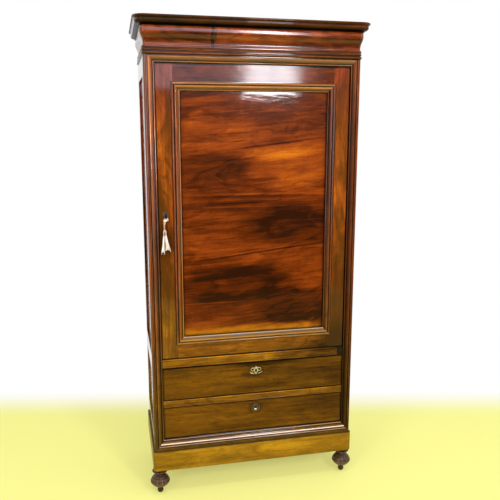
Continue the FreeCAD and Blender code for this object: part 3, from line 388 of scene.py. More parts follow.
# ---------------------------------------------------------------- metals and cotton
def metal(name, bright, dark, worn, roughness, metallic=1.0, bump_strength=0.25, crests=None):
    """Old metal: bright where it is handled and dark where the patina stays.

    The share of patina grows with worn. Between the two depths of crests, from a hollow to
    a crest, a plate's colour goes from dark to rubbed.
    """
    material, tree, shader = new_material(name)
    place = object_place(tree)
    spots = noise(tree, scaled(tree, place, (160, 160, 160)), 5.0, 0.65)
    clouds = noise(tree, scaled(tree, place, (45, 45, 45)))
    age = maths(tree, "MULTIPLY_ADD", spots, 0.6, maths(tree, "MULTIPLY", clouds, 0.5))
    skin = ramp(tree, age, [(worn - 0.18, dark), (worn + 0.12, bright)])
    if crests:
        rise = span(tree, coordinate(tree, place, "Y"), *crests)
        skin = mix(tree, 1.0, skin, ramp(tree, rise, [(0.0, 0.06), (0.45, 0.35), (1.0, 1.0)]), "MULTIPLY")
    tree.links.new(skin, shader.inputs["Base Color"])
    tree.links.new(span(tree, age, 0.8, 0.3, *roughness), shader.inputs["Roughness"])
    bumped(tree, shader, spots, bump_strength, 0.0002)
    shader.inputs["Metallic"].default_value = metallic
    return material


def cotton(name, low, high, stops):
    """Twisted cream cotton, a little grey in its hollows, and darker between two heights by the stops given:
    soiled, and on the cord also painted shade.
    """
    material, tree, shader = new_material(name)
    place = object_place(tree)
    twist = put(tree, "ShaderNodeTexWave", {"Vector": scaled(tree, place, (1, 1, 1), turn=(0.6, 0.7, 0)),
                                            "Scale": 320.0, "Distortion": 3.0, "Detail": 2.0}).outputs
    hollows = noise(tree, scaled(tree, place, (90, 90, 22)))
    shade = ramp(tree, hollows, [(0.35, (0.62, 0.50, 0.40)), (0.55, colours().thread)])
    shade = mix(tree, 0.25, shade, twist["Color"], "MULTIPLY")
    soil_and_shade = ramp(tree, span(tree, coordinate(tree, place, "Z"), low, high), stops)
    tree.links.new(mix(tree, 1.0, shade, soil_and_shade, "MULTIPLY"), shader.inputs["Base Color"])
    bumped(tree, shader, twist["Fac"], 0.4, 0.0003)
    shader.inputs["Roughness"].default_value = 0.85
    shader.inputs["Sheen Weight"].default_value = 0.3
    shader.inputs["Sheen Roughness"].default_value = 0.5
    return material


# ---------------------------------------------------------------- piece helpers
def node_body(node):
    for body, nodes in frame["record"]["behaviour"]["bodies"].items():
        if node in nodes:
            return body
    raise RuntimeError("no body holds " + node)


def finished(name, mesh, material, node, smooth_angle=35.0):
    """Make the object that stands for a node, give it its finish, and let it ride on its body."""
    piece = bpy.data.objects.new(name, mesh)
    bpy.context.scene.collection.objects.link(piece)
    mesh.materials.clear()
    mesh.materials.append(material)
    mesh.shade_smooth()
    mesh.set_sharp_from_angle(angle=math.radians(smooth_angle))
    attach(piece, node_body(node))
    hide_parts(node)
    return piece


MERGE_DISTANCE = 0.00002
FLAT_ANGLE = math.radians(0.4)
ARRIS_ANGLE = math.radians(38)


def polished(node, material, edge):
    """A merged copy of a node, with its arrises softened where edge is more than nothing."""
    mesh = frame["nodes"][node].data.copy()
    mesh.name = node + "_polished"
    form = bmesh.new()
    form.from_mesh(mesh)
    bmesh.ops.remove_doubles(form, verts=form.verts, dist=MERGE_DISTANCE)
    bmesh.ops.dissolve_limit(form, angle_limit=FLAT_ANGLE, verts=form.verts, edges=form.edges)
    form.to_mesh(mesh)
    form.free()
    piece = finished(mesh.name, mesh, material, node)
    if edge > 0:
        bevel = piece.modifiers.new("soft arrises", "BEVEL")
        bevel.width = edge
        bevel.segments = 2
        bevel.limit_method = "ANGLE"
        bevel.angle_limit = ARRIS_ANGLE
        bevel.harden_normals = True
    return piece


def second_finish(piece, material, chosen):
    """Give the faces that chosen picks a finish of their own."""
    piece.data.materials.append(material)
    for polygon in piece.data.polygons:
        polygon.material_index = int(chosen(polygon))


def repaint(nodes, material):
    """Give carried-over nodes their finish."""
    for node in nodes:
        materials = frame["nodes"][node].data.materials
        materials.clear()
        materials.append(material)


def mesh_from(name, form):
    bmesh.ops.remove_doubles(form, verts=form.verts, dist=0.000001)
    bmesh.ops.recalc_face_normals(form, faces=form.faces)
    mesh = bpy.data.meshes.new(name)
    form.to_mesh(mesh)
    form.free()
    return mesh


def edges_of(verts):
    return list({edge for vert in verts for edge in vert.link_edges})


def full_spin(form, shape, centre, axis, steps):
    bmesh.ops.spin(form, geom=shape, cent=centre, axis=axis, angle=FULL_TURN, steps=steps, use_merge=True)


def lathe(form, outline, centre, axis, steps, closed=False):
    """Turn an outline about an axis; a closed one ends where it starts."""
    verts = [form.verts.new(point) for point in outline]
    ends = verts[1:] + verts[:1] if closed else verts[1:]
    edges = [form.edges.new(pair) for pair in zip(verts, ends)]
    full_spin(form, verts + edges, centre, axis, steps)


# ---------------------------------------------------------------- operators
class CABINET_OT_stage(bpy.types.Operator):
    """Set up the camera, the floor, the plain white surroundings and the soft lamps"""
    bl_idname = "cabinet.stage"
    bl_label = "Stage"

    def execute(self, context):
        scene = context.scene
        scene.view_settings.view_transform = "Standard"
        self.camera(scene)
        self.surroundings(scene)
        floor = self.floor(scene)
        self.dark_card(scene, floor)
        # Each lamp's name, place, aim, width, height, power and colour
        lamps = [("key lamp", (-2.8, -3.2, 2.3), (0, 0, 1.4), 1.2, 2.2, 52, (1.0, 0.98, 0.96)),
                 ("fill lamp", (3.4, -2.4, 2.7), (0, 0, 1.3), 1.0, 2.0, 14, (0.95, 0.95, 1.0)),
                 ("overhead lamp", (0.0, -1.6, 3.9), (0, -0.2, 1.0), 2.6, 0.4, 26, (1.0, 0.97, 0.94)),
                 ("ceiling light", (-0.05, -3.38, 2.55), (-0.05, 0, 2.2), 2.4, 1.0, 28, (0.90, 0.80, 1.0)),
                 ("window", (0.87, -3.35, 2.41), (0.87, -0.2, 2.41), 0.52, 0.85, 57, (0.98, 0.96, 1.0))]
        for lamp in lamps:
            self.lamp(scene, *lamp)
        return {"FINISHED"}

    def camera(self, scene):
        """From the left of the cabinet, at the height of a standing person's eyes."""
        lens = bpy.data.cameras.new("camera")
        lens.sensor_width = 36.0
        lens.lens = 44.12
        camera = bpy.data.objects.new("camera", lens)
        camera.location = (-0.595, -2.789, 1.641)
        camera.rotation_euler = (math.radians(90 - 10.81), 0, math.radians(-12.42))
        scene.collection.objects.link(camera)
        scene.camera = camera

    def surroundings(self, scene):
        """Plain white where they are seen, and a softer light on the cabinet."""
        world = bpy.data.worlds.new("white surroundings")
        scene.world = world
        world.use_nodes = True
        tree = world.node_tree
        tree.nodes.clear()
        light = put(tree, "ShaderNodeBackground", {"Color": (0.98, 0.98, 1.0, 1), "Strength": 0.72})
        white = put(tree, "ShaderNodeBackground", {"Color": (1, 1, 1, 1), "Strength": 1.0})
        both = put(tree, "ShaderNodeMixShader", {0: seen_rays(tree), 1: light.outputs[0],
                                                 2: white.outputs[0]})
        put(tree, "ShaderNodeOutputWorld", {"Surface": both.outputs[0]})

    def floor(self, scene):
        """A pale floor that keeps the cabinet's shadow and fades to white behind it."""
        form = bmesh.new()
        bmesh.ops.create_grid(form, x_segments=1, y_segments=1, size=FLOOR_HALF)
        floor = bpy.data.objects.new("floor", mesh_from("floor", form))
        scene.collection.objects.link(floor)
        material, tree, shader = new_material("pale floor")
        place = object_place(tree)
        cloud = noise(tree, scaled(tree, place, (0.8, 0.8, 0.8)), 2.0)
        pale = tuple(colours().floor)
        duller = [0.97 * part for part in pale]
        tone = ramp(tree, cloud, [(0.3, duller), (0.7, pale)])
        turned = scaled(tree, place, (1, 1, 1), turn=(0, 0, math.radians(12)))
        away = span(tree, coordinate(tree, turned, "Y"), 0.5, 0.9, smooth=True)
        tree.links.new(mix(tree, away, tone, (0.96, 0.96, 0.94)), shader.inputs["Base Color"])
        shader.inputs["Roughness"].default_value = 0.9
        shader.inputs["Specular IOR Level"].default_value = 0.1
        glow = put(tree, "ShaderNodeEmission", {"Color": mix(tree, away, pale, (1, 1, 1)), "Strength": 1.0})
        share = maths(tree, "MULTIPLY", span(tree, away, 0.0, 1.0, 0.4, 1.0), seen_rays(tree))
        blend = put(tree, "ShaderNodeMixShader", {0: share, 1: shader.outputs[0], 2: glow.outputs[0]})
        tree.links.new(blend.outputs[0], tree.nodes["Material Output"].inputs["Surface"])
        floor.data.materials.append(material)
        return floor

    def dark_card(self, scene, floor):
        """A dark card behind the camera that only the polish reflects."""
        card = bpy.data.objects.new("dark card", floor.data.copy())
        card.data.transform(Matrix.Translation((-0.35, -3.6, 2.4)) @ Matrix.Rotation(math.pi / 2, 4, "X")
                            @ Matrix.Diagonal((0.61, 0.4, 1, 1)))
        scene.collection.objects.link(card)
        card.visible_camera = False
        card.visible_diffuse = False
        card.visible_shadow = False
        dim, _, shader = new_material("dim room")
        shader.inputs["Base Color"].default_value = (0.015, 0.012, 0.014, 1)
        shader.inputs["Roughness"].default_value = 1.0
        card.data.materials.clear()
        card.data.materials.append(dim)
        return card

    def lamp(self, scene, name, place, aim, width, height, power, shade):
        """A soft rectangular lamp that the camera doesn't see."""
        light = bpy.data.lights.new(name, "AREA")
        light.shape = "RECTANGLE"
        light.size = width
        light.size_y = height
        light.energy = power
        light.color = shade
        lamp = bpy.data.objects.new(name, light)
        lamp.location = place
        lamp.rotation_euler = (Vector(aim) - Vector(place)).to_track_quat("-Z", "Y").to_euler()
        lamp.visible_camera = False
        scene.collection.objects.link(lamp)


class CABINET_OT_cord(bpy.types.Operator):
    """Loop the tassel's cord round the key's shank"""
    bl_idname = "cabinet.cord"
    bl_label = "Cord"

    def execute(self, context):
        width = sizes().cord_width
        # From the hitch up, over the shank and down again: how far out and up from the key's place
        route = [(-0.0062, -0.0430), (-0.0046, -0.0260), (0.0042, -0.0130), (0.0062, -0.0020),
                 (0.0042, 0.0058), (0.0, 0.0064), (-0.0042, 0.0058), (-0.0062, -0.0020),
                 (-0.0072, -0.0180), (-0.0088, -0.0430)]
        curve = bpy.data.curves.new("tassel_cord_line", "CURVE")
        curve.dimensions = "3D"
        curve.resolution_u = 12
        curve.bevel_depth = width / 2
        curve.bevel_resolution = 4
        curve.use_fill_caps = True
        spline = curve.splines.new("NURBS")
        spline.points.add(len(route) - 1)
        for point, (out, up) in zip(spline.points, route):
            point.co = (KEY_PLACE.x + out, KEY_PLACE.y, KEY_PLACE.z + up, 1)
        spline.order_u = 3
        spline.use_endpoint_u = True
        piece = bpy.data.objects.new("tassel_loop", curve)
        context.scene.collection.objects.link(piece)
        # The cord is soiled low down; where it passes over the key's shank it is painted nearly black:
        # painted shade by the keyhole
        soiled = (0.60, 0.36, 0.24)
        curve.materials.append(cotton("cotton cord", 1.254, 1.304, [
            (0.0, soiled), (0.10, soiled), (0.18, 1.0), (0.56, 1.0), (0.66, 0.08), (1.0, 0.02)]))
        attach(piece, "tassel")
        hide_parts("tassel_cord")
        return {"FINISHED"}


class CABINET_OT_tassel(bpy.types.Operator):
    """Knot the tassel: hitch under the key, bound neck and two splayed tufts of cotton threads"""
    bl_idname = "cabinet.tassel"
    bl_label = "Tassel"

    neck_out = 0.0074

    def execute(self, context):
        form = bmesh.new()
        self.hitch(form)
        self.binding(form)
        count = sizes().threads
        golden = math.pi * (3 - math.sqrt(5))
        # Each lock's threads stand like the seeds of a sunflower: left lock first, then the right one
        for side in (-1, 1):
            for i in range(count):
                share = math.sqrt((i + 0.5) / count)
                turn = i * golden
                self.thread(form, side, share * math.cos(turn), share * math.sin(turn), i)
        soiled = (0.62, 0.38, 0.26)
        threads = cotton("cotton threads", 1.230, 1.290, [
            (0.0, 1.0), (0.08, 1.0), (0.20, soiled), (0.50, soiled), (0.64, 1.0), (1.0, 1.0)])
        finished("tassel_threads", mesh_from("tassel_threads", form), threads, "tassel", smooth_angle=70)
        return {"FINISHED"}

    def hitch(self, form):
        """The lump where the cord is hitched: turns of cord laid over each other."""
        half_width, squeeze = 0.00155, 0.72
        # Each turn's place from the key, its radius and its lean
        turns = [((0.0058, -0.0150), 0.0046, 25), ((0.0020, -0.0122), 0.0048, -20),
                 ((-0.0030, -0.0150), 0.0044, 35), ((-0.0058, -0.0185), 0.0040, -30),
                 ((0.0002, -0.0185), 0.0046, 5)]
        for (out, up), radius, lean in turns:
            start = bmesh.ops.create_circle(form, segments=10, radius=half_width,
                                            matrix=Matrix.Translation((radius, 0, 0)))["verts"]
            full_spin(form, start + edges_of(start), (0, 0, 0), (0, 1, 0), 24)
            loop = [vert for vert in form.verts if not vert.tag]
            bmesh.ops.scale(form, vec=(1.0, 1.0, squeeze), verts=loop)
            for angle, axis in ((lean, "Y"), (lean / 2, "X")):
                bmesh.ops.rotate(form, cent=(0, 0, 0), matrix=Matrix.Rotation(math.radians(angle), 3, axis),
                                 verts=loop)
            bmesh.ops.translate(form, vec=KEY_PLACE + Vector((out, 0, up)), verts=loop)
            for vert in loop:
                vert.tag = True

    def binding(self, form):
        """Turns of thread round the neck."""
        x, y = KEY_PLACE.x - self.neck_out, KEY_PLACE.y
        top, bottom, turns, pitch = 1.2565, 1.2400, 8, 0.0019
        profile = [(0.0, top), (0.0024, top)]
        for i in range(turns):
            z = top - 0.0006 - i * pitch
            profile += [(0.0030, z), (0.0033, z - 0.0006), (0.0029, z - 0.0013)]
        profile += [(0.0026, bottom + 0.0005), (0.0, bottom)]
        lathe(form, [(x + radius, y, z) for radius, z in profile], (x, y, 0), (0, 0, 1), 20)

    def thread(self, form, side, across, deep, i):
        """One thread: from the neck down its strand, then out into its tuft and a ragged end.

        side is -1 or 1 for its lock, and across and deep are its place in the lock, from -1 to 1.
        """
        x, y = KEY_PLACE.x, KEY_PLACE.y
        neck = x - self.neck_out
        strand = x + (-0.0098 if side < 0 else -0.0018)
        foot, half, low = (x - 0.0152, 0.0060, 1.1460) if side < 0 else (x + 0.0060, 0.0108, 1.1530)
        end = low + 0.0030 * math.sin(i * 12.9898 + side) + 0.0045 * max(0.0, 1 - abs(across) * 1.2)
        tail = 0.0100 if across * side > 0.86 or (side < 0 and across > 0.8) else 0.0
        stops = [Vector((neck + across * 0.0014, y + deep * 0.0014, 1.2425)),
                 Vector((strand + across * 0.0016, y + deep * 0.0018, 1.2290)),
                 Vector((strand + across * 0.0013, y + deep * 0.0016, 1.2160)),
                 Vector((strand + across * 0.0030 + side * 0.0006, y + deep * 0.0026, 1.2080)),
                 Vector((0.55 * foot + 0.45 * strand + across * half * 0.66, y + deep * 0.0034, 1.1800)),
                 Vector((foot + across * half, y + deep * 0.0038, end)),
                 Vector((foot + across * (half + 0.0004), y + deep * 0.0034, end - 0.0004 - tail))]
        rings, last_full = [], 17
        for k, middle in enumerate(self.bend(stops)):
            middle.x += 0.0005 * math.sin(0.9 * k + i * 2.4)
            thin = 0.5 if k > last_full else 1.0
            radius = sizes().thread_width / 2 * (0.85 + 0.15 * math.sin(1.3 * k + i)) * thin
            ring = bmesh.ops.create_circle(form, segments=6, radius=radius, matrix=Matrix.Translation(middle)
                                           @ Matrix.Rotation(0.4 * k, 4, "Z"))["verts"]
            rings.append(edges_of(ring))
        for upper, lower in zip(rings, rings[1:]):
            bmesh.ops.bridge_loops(form, edges=upper + lower)
        bmesh.ops.contextual_create(form, geom=rings[0])
        bmesh.ops.contextual_create(form, geom=rings[-1])

    @staticmethod
    def bend(stops):
        """A smooth run through the stops, three steps to each."""
        ends = [stops[0]] + stops + [stops[-1]]
        line = []
        for a, b, c, d in zip(ends, ends[1:], ends[2:], ends[3:]):
            for t in (0.0, 0.33, 0.67):
                line.append(0.5 * (2 * b + t * (c - a) + t * t * (2 * a - 5 * b + 4 * c - d)
                                   + t * t * t * (3 * b - a - 3 * c + d)))
        return line + [stops[-1]]


class CABINET_OT_carcase(bpy.types.Operator):
    """Polish the cornice, posts, rails, frame mouldings, sides and plinth"""
    bl_idname = "cabinet.carcase"
    bl_label = "Carcase"

    def execute(self, context):
        self.board, self.moulding = sizes().board_edge, sizes().moulding_edge
        self.dark = {"tint": tuple(colours().plum), "tint_low": tuple(colours().moss), "olive": OLIVE_LOW}
        self.cornice()
        self.posts_and_mouldings()
        self.rails()
        self.sides()
        self.plinth()
        return {"FINISHED"}

    def cornice(self):
        """The cap, the swelling frieze with its dark mark, and the beaded necking under it, with painted
        shade in their hollows and under the cap, and painted highlights on their rounds.
        """
        # Up the frieze: darker at its foot, a painted highlight just under the cap, and painted shadow under
        # the cap itself
        line = over("frieze_front", "z", [(0.0, 0.5), (0.05, 1.0), (0.30, 0.75), (0.8, 1.0), (0.94, 1.3),
                                          (0.97, 0.5), (1.0, 0.1)])
        common = {"olive": ALL_RED, "polish": 0.15, "coat": 1.0, "lines": [line]}
        frieze = walnut("walnut frieze", "x", 5.7, 0.42, 0.9, patches=[
            (-0.05, 2.02, 0.14, 0.035, 0.16), (-0.20, 2.03, 0.10, 0.05, -0.12),
            (-0.35, 2.03, 0.26, 0.04, -0.26), (0.18, 2.02, 0.10, 0.05, -0.12),
            (0.30, 2.02, 0.22, 0.035, -0.06), (0.44, 2.02, 0.10, 0.05, -0.14)],
            marks=[(-0.181, 2.022, 0.009, 0.055, -1.1), (-0.168, 2.03, 0.006, 0.030, -0.5)], **common)
        polished("frieze_front", frieze, self.moulding)
        returns = walnut("walnut frieze returns", "y", 5.7, 0.42, 0.9, **common)
        polished("frieze_sides", returns, self.moulding)
        # The necking's lines paint shade in its quirks and highlights on its beads
        necking = walnut("walnut necking", "x", 9.3, 0.14, 0.9, olive=ALL_RED, tint=(0.13, 0.060, 0.018),
                         tint_share=0.35, coat=0.40, polish=0.08, lines=[over("necking_mouldings", "z", [
                             (0.0, 0.03), (0.10, 0.3), (0.13, 0.9), (0.26, 1.5), (0.36, 0.5), (0.41, 0.03),
                             (0.44, 0.5), (0.53, 0.5), (0.55, 0.05), (0.6, 0.6), (0.68, 1.2), (0.75, 0.1),
                             (0.78, 0.7), (0.93, 0.9), (1.0, 0.1)])])
        polished("necking_mouldings", necking, self.moulding)
        # Up the cap: painted shadow along its underside and in its quirk, and lighter on its rounds
        line = over("cornice_cap", "z", [
            (0.0, 0.02), (0.16, 0.02), (0.19, 0.25), (0.35, 0.6), (0.5, 1.0), (0.66, 0.5), (0.69, 0.12),
            (0.74, 0.5), (0.85, 0.9), (0.93, 0.7), (1.0, 0.4)])
        common = {"olive": ALL_RED, "tint_share": 0.6, "lines": [line]}
        # The ends are painted lighter than the dark front: painted light on the cap's sides
        cap = walnut("walnut cap", "x", 3.1, 0.24, 0.9, tint=(0.040, 0.024, 0.006), coat=0.06, **common)
        ends = walnut("walnut cap ends", "y", 3.1, 0.40, 0.8, tint=(0.075, 0.038, 0.012), coat=1.0, **common)

        def faces_sideways(polygon):
            return abs(polygon.normal.x) > abs(polygon.normal.y) + abs(polygon.normal.z)

        second_finish(polished("cornice_cap", cap, self.moulding), ends, faces_sideways)

    def posts_and_mouldings(self):
        """The front posts and the moulding round the front opening: its left side is glossier and carries a
        painted sheen that grows towards the top, and its right side is painted darker.
        """
        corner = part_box("front_post_right")[1].x
        # Across the post's rounded corner: painted shade in its grooves and painted highlights on its rounds
        rounding = ("x", 0.0, corner - 0.017, corner, [
            (0.0, 0.05), (0.13, 0.06), (0.17, 0.9), (0.30, 1.3), (0.33, 0.06), (0.41, 0.06), (0.45, 0.9),
            (0.8, 1.2), (1.0, 0.9)])
        # Across the frame moulding: painted shade in its quirks and painted highlights on its rolls
        section = [(0.0, 0.02), (0.05, 0.03), (0.08, 0.7), (0.138, 1.5), (0.207, 0.6), (0.235, 0.03),
                   (0.28, 0.05), (0.41, 0.4), (0.586, 0.8), (0.79, 1.5), (0.90, 0.7), (0.935, 0.04),
                   (1.0, 0.3)]
        # The left upright is painted lighter, most of all at its top, and the right one darker: painted light
        # and shade; the left side's coat is also glossier
        for side, shade, painted_sheen_top, coat in (("left", 1.15, (2.1, 2.8, 4.2), 0.9), ("right", 0.52, 0.80, 0.04)):
            post = walnut("walnut post " + side, "z", 11.3, 0.44, 0.9, tint_share=0.5, coat=coat,
                          lines=[rounding], **self.dark)
            polished("front_post_" + side, post, self.board)
            painted_sheen_by_height = ("z", None, 0.25, 1.95, [(0.0, 0.75 * shade), (0.5, shade), (0.85, 1.2 * shade),
                                                (1.0, painted_sheen_top)])
            across = ("x", 0.0, *reach("frame_moulding_right", "x"), section)
            upright = walnut("walnut moulding " + side, "z", 2.3, 0.46, 0.9, tint_share=0.55, coat=coat,
                             polish=0.08, lines=[painted_sheen_by_height, across], **self.dark)
            polished("frame_moulding_" + side, upright, self.moulding)
        # The top run's golden tint is painted light from above, where the uprights have plum
        top = walnut("walnut top moulding", "x", 4.9, 0.42, 0.9, olive=(0.1, 0.2), tint=(0.24, 0.125, 0.05),
                     tint_share=0.5, coat=1.0, polish=0.08, lines=[over("frame_moulding_top", "z", section)])
        polished("frame_moulding_top", top, self.moulding)
        # Across the bottom moulding: painted shade in its hollows; the pale crests added over it are painted
        # highlights
        wide_section = [(0.0, 0.03), (0.03, 0.1), (0.09, 0.8), (0.15, 1.3), (0.25, 0.5), (0.288, 0.04),
                        (0.34, 0.8), (0.45, 1.6), (0.6, 0.8), (0.775, 0.3), (0.815, 0.03), (0.86, 0.7),
                        (0.90, 1.3), (0.95, 0.5), (0.975, 0.06), (1.0, 0.02)]
        crests = [(0.0, 0.0), (0.10, 0.0), (0.15, (0.26, 0.22, 0.22)), (0.20, 0.0), (0.38, 0.0),
                  (0.43, (0.80, 0.70, 0.70)), (0.48, (0.55, 0.47, 0.45)), (0.54, 0.0), (0.87, 0.0),
                  (0.90, (0.36, 0.30, 0.28)), (0.94, 0.0)]
        bottom = walnut("walnut bottom moulding", "x", 14.9, 0.62, 0.9, olive=OLIVE_LOW,
                        tint=(0.08, 0.038, 0.014), tint_share=0.6, worn=1.0, polish=0.08,
                        lines=[over("frame_moulding_bottom", "z", wide_section),
                               over("frame_moulding_bottom", "z", crests, "ADD")])
        polished("frame_moulding_bottom", bottom, self.moulding)

    def rails(self):
        """The front rails; the two between the door and the drawers have a fine bead at each edge, with
        painted shade at the gaps and painted highlights on the beads.
        """
        # Across the beaded rails: painted shade at the gaps and painted highlights on the beads
        section = [(0.0, 0.05), (0.05, 0.5), (0.10, 1.1), (0.15, 0.9), (0.18, 0.4), (0.22, 0.85),
                   (0.78, 0.95), (0.82, 0.4), (0.86, 1.0), (0.93, 1.9), (0.98, 1.5), (1.0, 0.2)]
        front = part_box("sill_rail")[0].y
        outer = walnut("walnut outer rails", "x", 6.1, 0.26, 0.9, tint_share=0.5, **self.dark)
        sill = walnut("walnut sill", "x", 16.1, 0.67, 0.8, olive=(0.55, 1.1), front=front,
                      patches=[(-0.30, 0.64, 0.30, 0.05, -0.02), (0.34, 0.64, 0.30, 0.06, -0.60)],
                      lines=[over("sill_rail", "z", section)])
        middle = walnut("walnut drawer rail", "x", 26.1, 0.56, 0.8, front=front,
                        patches=[(-0.26, 0.44, 0.28, 0.06, -0.12), (0.36, 0.44, 0.14, 0.06, -0.16)],
                        lines=[over("drawer_rail", "z", section)])
        for node, material in (("top_rail", outer), ("bottom_rail", outer), ("sill_rail", sill),
                               ("drawer_rail", middle)):
            polished(node, material, self.moulding)

    def sides(self):
        """The sides' rails and panels, and the back posts."""
        for node, grain, seed, level, contrast in (("side_rails", "y", 8.8, 0.45, 0.8),
                                                   ("back_posts", "z", 18.4, 0.45, 0.8),
                                                   ("side_panels", "z", 1.9, 0.50, 1.0)):
            material = walnut("walnut " + node.replace("_", " "), grain, seed, level, contrast,
                              olive=OLIVE_LOW, coat=1.0, worn=1.0, polish=0.05)
            polished(node, material, self.board)

    def plinth(self):
        """The plinth's front and side boards."""
        line = over("plinth_front", "z", [(0.0, 0.5), (0.04, 1.0), (0.95, 1.0), (1.0, 0.2)])
        common = {"tint": (0.42, 0.25, 0.012), "tint_share": 0.25, "coat": 0.5, "polish": 0.2,
                  "lines": [line]}
        front = walnut("walnut plinth", "x", 13.7, 0.70, 0.8, spread=0.6, patches=[
            (-0.40, 0.18, 0.16, 0.06, -0.28), (-0.16, 0.165, 0.14, 0.03, -0.22),
            (-0.04, 0.19, 0.10, 0.03, -0.18), (0.12, 0.19, 0.14, 0.03, 0.20), (0.20, 0.17, 0.12, 0.04, 0.14),
            (0.24, 0.15, 0.08, 0.02, -0.15), (0.38, 0.17, 0.12, 0.06, -0.12)], **common)
        ends = walnut("walnut plinth ends", "y", 13.7, 0.62, 0.8, **common)
        polished("plinth_front", front, self.board)
        polished("plinth_sides", ends, self.board)


class CABINET_OT_feet(bpy.types.Operator):
    """Turn the four feet: pad, bulb with fine grooves, collar and disc"""
    bl_idname = "cabinet.feet"
    bl_label = "Feet"

    def execute(self, context):
        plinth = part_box("plinth_front")[0].z
        # The lines up the foot paint shade in its grooves and highlights on its bulb and collar
        material = walnut("walnut feet", "z", 7.7, 0.25, 0.8, olive=ALL_RED, tint=(0.080, 0.052, 0.022),
                          tint_share=0.75, polish=0.12, coat=0.5, worn=1.0, body_gloss=0.06, lines=[
                              ("z", None, 0.0, plinth, [
                                  (0.0, 0.6), (0.14, 0.35), (0.19, 0.15), (0.24, 0.8), (0.40, 1.2),
                                  (0.46, 1.4), (0.49, 1.1), (0.50, 0.15), (0.52, 0.9), (0.60, 1.1),
                                  (0.615, 0.2), (0.63, 0.9), (0.70, 0.6), (0.76, 0.08), (0.80, 0.15),
                                  (0.82, 1.2), (0.86, 1.0), (0.90, 0.15), (0.94, 0.5), (1.0, 0.3)])])
        pad = [(0.0, 0.0), (0.008, 0.0), (0.0095, 0.001), (0.013, 0.006), (0.0142, 0.011), (0.0135, 0.017)]
        bulb = [(0.0115, 0.0225), (0.0130, 0.0255), (0.0175, 0.0280), (0.0220, 0.0310), (0.0300, 0.0375),
                (0.0385, 0.0460), (0.0435, 0.0530), (0.0448, 0.0575), (0.0446, 0.0610), (0.0434, 0.0640),
                (0.0425, 0.0646), (0.0418, 0.0680), (0.0385, 0.0742), (0.0340, 0.0797), (0.0330, 0.0800),
                (0.0318, 0.0822), (0.0262, 0.0882), (0.0218, 0.0917), (0.0192, 0.0948), (0.0184, 0.0980)]
        collar = [(0.0188, 0.1010), (0.0208, 0.1038), (0.0300, 0.1050), (0.0338, 0.1062), (0.0356, 0.1080),
                  (0.0358, 0.1098), (0.0350, 0.1115), (0.0328, 0.1132), (0.0292, 0.1150), (0.0283, 0.1170)]
        disc = [(0.0288, 0.1190), (0.0296, 0.1204), (0.0300, 0.1225), (0.0300, 0.1285), (0.0295, 0.1290),
                (0.0, 0.1290)]
        form = bmesh.new()
        for y, out in ((-0.164, 0.4436), (0.194, 0.398)):
            for x in (-out, out):
                outline = [(x + radius, y, z) for radius, z in pad + bulb + collar + disc]
                lathe(form, outline, (x, y, 0), (0, 0, 1), 64)
        finished("turned_feet", mesh_from("turned_feet", form), material, "feet", smooth_angle=50)
        return {"FINISHED"}


